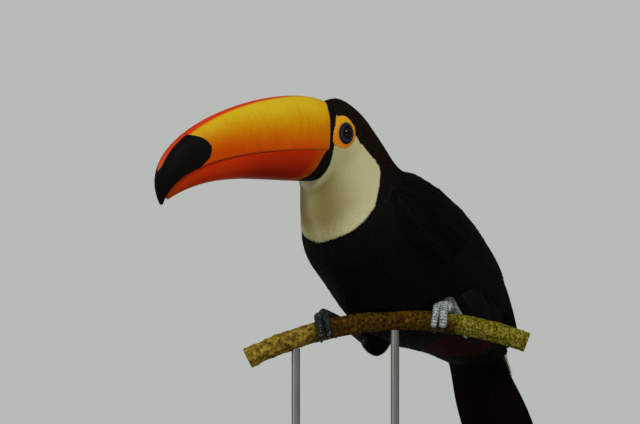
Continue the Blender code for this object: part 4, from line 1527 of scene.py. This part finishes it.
def round_branch(x, a, reach):
    """A path round the branch, with its directions to the side and away from the axis."""
    path = np.stack([x, -np.sin(a) * reach, np.cos(a) * reach], -1)
    away = np.stack([0 * a, -np.sin(a), np.cos(a)], -1)
    way = unit(np.gradient(path, axis=0))
    return path, unit(np.cross(way, away)), away


def leg_tube(name):
    """The bare leg: its rings, the length run along them, and where its flanks are."""
    x, heel = FEET[name]
    low = bird_to_world(np.array(heel, float)) / CM
    along, back, over = ANKLES[name]
    ankle = foot_to_world(x, (along, back, PERCH_RADIUS + over)) / CM
    middle = (low + ankle) / 2 + np.array([0, 0, 0.25])
    path = through([low, middle + (low - middle) * 0.35, middle + (ankle - middle) * 0.35,
                    ankle], LEG_ROWS)
    steps = round(BURIED[name] / 0.1)
    inside = np.linspace(BURIED[name], 0, steps, endpoint=False)[:, None]
    path = np.concatenate([low + unit(path[0] - path[1]) * inside, path])
    t = np.concatenate([np.zeros(steps), np.linspace(0, 1, LEG_ROWS)])
    joint = ANKLE_RADIUS[name] / TARSUS_RADIUS
    radii = TARSUS_RADIUS * spline((1.1, 0.95, 1.0, joint), 3 * t)
    run = np.concatenate([[0], np.cumsum(np.linalg.norm(np.diff(path, axis=0), axis=1))])
    radii = radii * (0.97 + 0.06 * scutes(run, LEG_SCALE))
    return tube_rings(path, radii, 30, ACROSS) * CM, run, 0.0


def pad_tube(name):
    """The rounded pad over the branch that the toes leave from."""
    along, back, over = ANKLES[name]
    u = np.linspace(0.02, 0.98, 26)[:, None] * math.pi
    v = circle(40)[None]
    tall = over * 0.62
    pad = np.stack([along / 2 + 0.66 * np.cos(u) + 0 * v,
                    back / 2 + 0.70 * np.sin(u) * np.cos(v),
                    PERCH_RADIUS + tall + (tall + 0.03) * np.sin(u) * np.sin(v)], -1)
    return foot_to_world(FEET[name][0], pad), np.linspace(0, 1, 26), 0.0


def toe_tube(x, x0, x1, start, end, size):
    """A toe round the branch, from degrees start to end."""
    t = np.linspace(0, 1, TOE_ROWS)
    sign = 1 if end > 0 else -1
    a = np.radians(start + (end + 9 * sign - start) * t)
    r = TOE_RADIUS * size * (1.02 - 0.22 * t)
    reach = PERCH_RADIUS + 0.04 + r * 0.93
    path, side, away = round_branch(x0 + (x1 - x0) * t, a, reach)
    run = np.abs(a - a[0]) * reach
    around = circle(28)
    top = np.clip(np.sin(around), 0, 1) ** 0.6
    under = np.clip(-np.sin(around), 0, 1)
    relief = 1 + 0.085 * (scutes(run) - 0.5)[:, None] * top[None]
    joints = np.cos(run / 0.95 * 2 * math.pi)[:, None] * under[None] * 0.07
    rad = r[:, None] * (relief + joints)
    rad = rad * (1 - np.clip((t - 0.96) / 0.04, 0, 1) ** 2 * 0.45)[:, None]
    ring = rings_round(path, side, away, np.cos(around), np.sin(around) * 0.94, rad)
    return foot_to_world(x, ring), run, np.abs(np.cos(around))[None]


def claw_rings(x, x0, x1, start, end, size):
    """The claw goes on round the branch from the end of the toe."""
    sign = 1 if end > 0 else -1
    drift = (x1 - x0) / (end - start)
    k = np.linspace(0, 1, 40)
    turn = sign * (6.0 + 32.0 * k)
    a = np.radians(end + turn)
    reach = PERCH_RADIUS + 0.03 + 0.34 * size + (0.10 - 0.34 * size) * k
    path, side, away = round_branch(x1 + drift * turn, a, reach)
    rad = 0.26 * size + (0.04 - 0.26 * size) * k**1.3
    around = circle(24)
    ring = rings_round(
        path, side, away, np.cos(around) * 0.72, np.sin(around), rad[:, None])
    return foot_to_world(x, ring)


def build_feet():
    skin, horn = foot_material(), claw_material()
    claws = []
    for name, (x, _) in FEET.items():
        tubes = [leg_tube(name), pad_tube(name), *(toe_tube(x, *toe) for toe in TOES[name])]
        claws += [loft(claw_rings(x, *toe)) for toe in TOES[name]]
        shells = [loft(rings) for rings, _, _ in tubes]
        fields = [np.concatenate([np.repeat(run, rings.shape[1]), run[[0, -1]]])
                  for rings, run, _ in tubes]
        flanks = [np.concatenate([np.broadcast_to(flank, rings.shape[:2]).ravel(), [0.0, 0.0]])
                  for rings, _, flank in tubes]
        verts, faces = joined(shells)
        # The left foot is painted as lit and the right as in shade.
        lit = np.full(len(verts), 1.0 if name == "left" else 0.0)
        ob = fast_mesh(f"foot_skin_{name}", verts, faces,
                       points={"along": np.concatenate(fields), "pale": lit,
                               "flank": np.concatenate(flanks)})
        ob.data.materials.append(skin)
        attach(ob, "root")
        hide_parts(f"foot_{name}")
    verts, faces = joined(claws)
    ob = fast_mesh("claws_horn", verts, faces)
    ob.data.materials.append(horn)
    outward(ob)
    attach(ob, "root")
    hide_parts(*(f"claw_{side}_{k}" for side in FEET for k in range(1, 5)))


def joined(shells):
    """One set of points and faces from several closed shells, each facing outward."""
    verts, faces, start = [], [], 0
    for points, groups in shells:
        quads = groups[0]
        middle = points.mean(0)
        corner = points[quads]
        normal = np.cross(corner[:, 1] - corner[:, 0], corner[:, 2] - corner[:, 0])
        turned_in = (normal * (corner.mean(1) - middle)).sum() < 0
        for g in groups:
            g = np.asarray(g)
            faces.append((g[:, ::-1] if turned_in else g) + start)
        verts.append(points)
        start += len(points)
    return np.concatenate(verts), faces


def foot_material():
    n = Nodes("foot_scutes", 0.5)
    along = n.attribute("along")
    scale = n.voronoi(460.0, feature="DISTANCE_TO_EDGE")
    mottle = n.noise(330.0, 4.0, 0.6)
    fine = n.noise(1500.0, 3.0)
    saw = n.math("FRACT", n.math("DIVIDE", along, TOE_SCALE))
    groove = n.band(saw, 0.76, 0.92)
    # Lit and shaded copies of one skin: the right foot is painted in shade, the left in light.
    foot_in_shade = n.ramp(mottle, ((0.42, (0.003, 0.004, 0.003)), (0.56, (0.008, 0.010, 0.007)),
                            (0.68, (0.26, 0.30, 0.27))))
    color = n.ramp(mottle, ((0.34, (0.22, 0.30, 0.38)), (0.46, (0.56, 0.68, 0.74)),
                            (0.62, (0.84, 0.90, 0.90))))
    color = n.mix(n.attribute("pale"), foot_in_shade, color)
    dark = (0.022, 0.028, 0.036)
    # The toes are darker down their sides: partly painted shade, partly the finer scales there.
    color = n.mix(n.times(n.band(n.attribute("flank"), 0.62, 0.98), 0.75), color, dark)
    color = n.mix(n.times(groove, 0.85), color, dark)
    crease = n.band(scale, 0.14, 0.0)
    color = n.mix(n.times(crease, 0.75), color, dark)
    height = n.line(scale, 1.4, n.times(fine, 0.2))
    height = n.math("SUBTRACT", height, groove)
    return n.done(
        color, n.line(fine, 0.25, 0.42), n.bump(height, 0.6, 0.0006), 0.25)


def claw_material():
    n = Nodes("claw_keratin", 0.3)
    grain = n.noise(500.0, 4.0, 0.6, n.scaled(n.coords(), (0.3, 1.0, 1.0)))
    color = n.ramp(grain, ((0.3, (0.008, 0.008, 0.008)), (0.7, (0.035, 0.032, 0.030))))
    return n.done(color, n.line(grain, 0.25, 0.22), n.bump(grain, 0.2, 0.0003))


# -------------------------------------------------------------------- perch
def build_perch():
    rows, cols, cap = 460, 96, 12
    x = np.linspace(PERCH_START, PERCH_END, rows)
    a = circle(cols)
    knotty = ease(-6.5, -9.5, x)
    mossy = ease(3.2, 5.2, x)
    rel = np.empty((rows, cols))
    for i, xi in enumerate(x.tolist()):
        for j, aj in enumerate(a.tolist()):
            c, s = math.cos(aj), math.sin(aj)
            big = noise.noise((xi * 0.45, c * 0.7, s * 0.7))
            mid = noise.noise((xi * 0.9 + 9, c * 2.2, s * 2.2))
            fine = noise.noise((xi * 3.5 + 3, c * 5.0, s * 5.0))
            k = knotty[i]
            lump = noise.noise((xi * 1.7 + 30, c * 1.6, s * 1.6))
            rel[i, j] = (
                0.055 * big + 0.035 * mid + 0.012 * fine
                + k * (0.13 * max(lump, 0.0) - 0.10 * max(-lump, 0.0) + 0.03 * fine)
                + mossy[i] * 0.022 * fine
            )
    radius = PERCH_RADIUS * (0.97 + rel)
    path = np.stack([x, 0 * x, PERCH_HEIGHT + perch_z(x)], -1)
    rings = tube_rings(path, radius, cols, (0.0, 0.0, 1.0)) * CM
    shrink = np.linspace(1, 0.02, cap)[1:]
    first = rings[:1].mean(1, keepdims=True)
    last = rings[-1:].mean(1, keepdims=True)
    lip = np.linspace(0.0, 0.0006, cap)[1:, None, None] * np.array([1.0, 0, 0])
    start_cap = first + (rings[:1] - first) * shrink[::-1, None, None] + lip[::-1] * 0.3
    end_cap = last + (rings[-1:] - last) * shrink[:, None, None] - lip * 0.3
    rings = np.concatenate([start_cap, rings, end_cap])
    verts, faces = loft(rings)
    per = [np.repeat(v, cols) for v in (
        np.concatenate([np.ones(cap - 1), np.zeros(rows), np.ones(cap - 1)]),
        np.concatenate([shrink[::-1], np.ones(rows), shrink]),
        np.concatenate([np.full(cap - 1, x[0]), x, np.full(cap - 1, x[-1])]))]
    cut, radial, place = (np.concatenate([v, v[[0, -1]]]) for v in per)
    relief = np.concatenate([np.zeros((cap - 1) * cols), rel.ravel(),
                             np.zeros((cap - 1) * cols), [0, 0]])
    ob = fast_mesh("perch_bark", verts, faces,
                   points={"cut": cut, "radial": radial, "place": place, "relief": relief})
    ob.data.materials.append(bark_material())
    outward(ob)
    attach(ob, "root")
    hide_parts("perch")


def bark_material():
    n = Nodes("branch_bark", 0.8)
    place = n.attribute("place")
    relief = n.attribute("relief")
    long = n.scaled(n.coords(), (0.35, 1.0, 1.0))
    mottle = n.noise(330.0, 6.0, 0.72)
    blotch = n.noise(48.0, 4.0, 0.6)
    cracks = n.noise(420.0, 6.0, 0.7, long)
    lichen = n.noise(400.0, 5.0, 0.7)
    brown = n.ramp(mottle, ((0.36, (0.014, 0.006, 0.001)), (0.48, (0.060, 0.027, 0.002)),
                            (0.60, (0.16, 0.082, 0.006)), (0.74, (0.36, 0.21, 0.030))))
    tan = n.ramp(mottle, ((0.34, (0.040, 0.020, 0.003)), (0.46, (0.24, 0.150, 0.018)),
                          (0.58, (0.56, 0.40, 0.055)), (0.74, (0.74, 0.60, 0.17))))
    green = n.ramp(lichen, ((0.38, (0.040, 0.030, 0.002)), (0.47, (0.16, 0.140, 0.008)),
                            (0.57, (0.38, 0.35, 0.035)), (0.72, (0.60, 0.58, 0.16))))
    knot = n.band(n.stray(blotch, 4.0, place), -7.0, -9.0)
    moss = n.band(n.stray(blotch, 5.0, place), 2.4, 4.4)
    color = n.mix(knot, brown, tan)
    color = n.mix(n.times(moss, 0.92), color, green)
    stain = n.band(n.line(mottle, 0.3, blotch), 0.60, 0.50)
    color = n.mix(n.times(stain, 0.55), color, (0.020, 0.011, 0.002))
    # Painted shade: the hollows of the bark, where its relief dips, are darkened.
    low = n.band(relief, -0.02, -0.09)
    color = n.mix(n.times(low, 0.6), color, (0.03, 0.018, 0.008))
    radial = n.attribute("radial")
    rings = n.line(blotch, 2.0, n.times(radial, 60.0))
    rings = n.line(n.math("SINE", rings), 0.5, 0.5)
    wood = n.mix(rings, (0.40, 0.27, 0.13), (0.56, 0.42, 0.24))
    wood = n.mix(n.band(radial, 0.86, 0.95), wood, (0.10, 0.06, 0.03))
    color = n.mix(n.attribute("cut"), color, wood)
    height = n.math("ADD", cracks, n.times(mottle, 0.8))
    rough = n.line(mottle, 0.25, 0.62)
    return n.done(color, rough, n.bump(height, 0.7, 0.0014), 0.05)


# -------------------------------------------------------------------- stand
BASE = (26.0, 18.0, 1.8)
BASE_CORNER = 2.5
RODS = (-9.5, -1.3)
ROD_RADIUS = 0.35


def build_stand():
    turn = np.linspace(0, 2 * math.pi, 97)[:-1]
    sx, sy = np.sign(np.cos(turn + 1e-4)), np.sign(np.sin(turn + 1e-4))
    levels = ((0.0, -0.12), (0.04, -0.04), (0.12, 0.0), (1.40, 0.0), (1.50, -0.03),
              (1.56, -0.10), (1.60, -0.17), (1.66, -0.19), (1.74, -0.22), (1.785, -0.28),
              (1.80, -0.36))
    rings = []
    for z, inset in levels:
        r = BASE_CORNER + inset
        cx, cy = sx * (BASE[0] / 2 - BASE_CORNER), sy * (BASE[1] / 2 - BASE_CORNER)
        rings.append(np.stack([cx + np.cos(turn) * r, cy + np.sin(turn) * r, z + 0 * cx], -1))
    rings = np.array(rings)
    middle = rings[-1:].mean(1, keepdims=True)
    inner = [middle + (rings[-1:] - middle) * k for k in (0.97, 0.8, 0.5, 0.2)]
    verts, faces = loft(np.concatenate([rings, *inner]) * CM)
    ob = fast_mesh("stand_base_wood", verts, faces)
    ob.data.materials.append(wood_material())
    outward(ob)
    ob.data.set_sharp_from_angle(angle=math.radians(32))
    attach(ob, "root")
    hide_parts("stand_base")
    steel = steel_material()
    for number, x in enumerate(RODS, start=1):
        top = PERCH_HEIGHT + perch_z(x)
        z = np.array([1.81, 1.83, 1.86, 6.0, 12.0, top - 0.8])
        r = ROD_RADIUS * np.array([0.93, 0.99, 1.0, 1.0, 1.0, 1.0])
        path = np.stack([x + 0 * z, 0 * z, z], -1)
        a = circle(64)
        ring = path[:, None] + np.stack([np.cos(a), np.sin(a), 0 * a], -1)[None] * r[:, None, None]
        verts, faces = loft(ring * CM)
        ob = fast_mesh(f"stand_rod_{number}_steel", verts, faces)
        ob.data.materials.append(steel)
        outward(ob)
        ob.data.set_sharp_from_angle(angle=math.radians(40))
        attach(ob, "root")
        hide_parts(f"stand_rod_{number}")


def wood_material():
    n = Nodes("walnut", 0.4)
    long = n.scaled(n.coords(), (1.0, 9.0, 9.0))
    wide = n.noise(9.0, 5.0, 0.55, long, 0.6)
    fine = n.noise(60.0, 5.0, 0.6, n.scaled(n.coords(), (1.0, 26.0, 26.0)))
    color = n.ramp(wide, ((0.28, (0.040, 0.019, 0.010)), (0.5, (0.095, 0.048, 0.024)),
                          (0.72, (0.165, 0.090, 0.045))))
    color = n.shaded(color, n.line(fine, 0.8, 0.58))
    n.shader.inputs["Coat Weight"].default_value = 0.2
    n.shader.inputs["Coat Roughness"].default_value = 0.25
    return n.done(color, n.line(fine, 0.25, 0.30), n.bump(fine, 0.12, 0.0005))


def steel_material():
    n = Nodes("brushed_steel", 0.3)
    grain = n.noise(900.0, 4.0, 0.6, n.scaled(n.coords(), (1.0, 1.0, 0.03)))
    smear = n.noise(40.0, 3.0)
    color = n.ramp(grain, ((0.3, (0.42, 0.42, 0.43)), (0.7, (0.60, 0.60, 0.61))))
    n.shader.inputs["Metallic"].default_value = 1.0
    rough = n.line(smear, 0.2, 0.22)
    return n.done(color, rough, n.bump(grain, 0.08, 0.0002))


# -------------------------------------------------------------------- scene
# Metres, unlike the dimensions above.
FLOOR_RINGS, FLOOR_SIDES, FLOOR_Z = (1.5, 0.9, 0.3), 96, -0.0002
LIGHTS_AIM = (0.0, 0.0, 0.28)
# Name, place, size, power and tint.
LIGHTS = (
    ("key", (0.45, -1.95, 2.35), 1.1, 38.0, (1.0, 0.97, 0.87)),
    ("fill", (-1.9, -1.3, 0.25), 1.4, 4.0, (1.0, 0.95, 0.80)),
    ("rim", (-1.8, 0.5, 1.2), 0.8, 5.0, (0.97, 1.0, 0.97)),
)
CAMERA_AT = (-0.075, -3.474, 0.291)
SENSOR_MM, LENS_MM = 36.0, 236.25
# How bright the room is where it lights the model, and where the camera sees it.
ROOM_LIGHT, ROOM_SEEN = 0.22, 0.80


def build_floor():
    a = circle(FLOOR_SIDES)
    rings = np.stack([np.stack([np.cos(a) * r, np.sin(a) * r, 0 * a + FLOOR_Z], -1)
                      for r in FLOOR_RINGS])
    verts = np.concatenate([rings.reshape(-1, 3), [[0, 0, FLOOR_Z]]])
    count = len(FLOOR_RINGS)
    step = np.arange(FLOOR_SIDES)
    inner = (count - 1) * FLOOR_SIDES
    fan = np.stack([inner + step, inner + (step + 1) % FLOOR_SIDES,
                    np.full(FLOOR_SIDES, count * FLOOR_SIDES)], -1)
    floor = fast_mesh("floor", verts, [grid_faces(count, FLOOR_SIDES), fan], smooth=False)
    face_out(floor, np.array([0.0, 0.0, 1.0]))
    n = Nodes("pale_floor", 0.8)
    n.done(n.ramp(n.noise(6.0, 3.0), ((0.3, (0.60, 0.60, 0.58)), (0.7, (0.66, 0.66, 0.64)))))
    floor.data.materials.append(n.mat)


def build_world():
    """An even light all round, which the camera sees brighter than the model does."""
    world = bpy.data.worlds.new("room")
    bpy.context.scene.world = world
    world.use_nodes = True
    back = world.node_tree.nodes["Background"]
    back.inputs["Color"].default_value = (0.60, 0.62, 0.60, 1)
    seen = world.node_tree.nodes.new("ShaderNodeLightPath")
    level = world.node_tree.nodes.new("ShaderNodeMapRange")
    level.inputs["To Min"].default_value = ROOM_LIGHT
    level.inputs["To Max"].default_value = ROOM_SEEN
    world.node_tree.links.new(seen.outputs["Is Camera Ray"], level.inputs["Value"])
    world.node_tree.links.new(level.outputs["Result"], back.inputs["Strength"])
    bpy.context.scene.view_settings.view_transform = "Standard"


def build_lights():
    for name, place, size, power, tint in LIGHTS:
        data = bpy.data.lights.new(name, "AREA")
        data.size = size
        data.energy = power
        data.color = tint
        lamp = bpy.data.objects.new(name, data)
        bpy.context.scene.collection.objects.link(lamp)
        lamp.location = place
        aim = Vector(LIGHTS_AIM) - Vector(place)
        lamp.rotation_euler = aim.to_track_quat("-Z", "Y").to_euler()


def build_camera():
    data = bpy.data.cameras.new("camera")
    data.sensor_width = SENSOR_MM
    data.lens = LENS_MM
    data.clip_end = 50.0
    camera = bpy.data.objects.new("camera", data)
    bpy.context.scene.collection.objects.link(camera)
    camera.location = CAMERA_AT
    camera.rotation_euler = (math.pi / 2, 0.0, 0.0)
    bpy.context.scene.camera = camera


build_skin()
build_head_coat()
build_body_coat()
build_thigh_coat()
build_wing_coat()
build_tail_feathers()
build_tail_coverts()
build_bill()
build_eyes()
build_feet()
build_perch()
build_stand()
build_floor()
build_world()
build_lights()
build_camera()
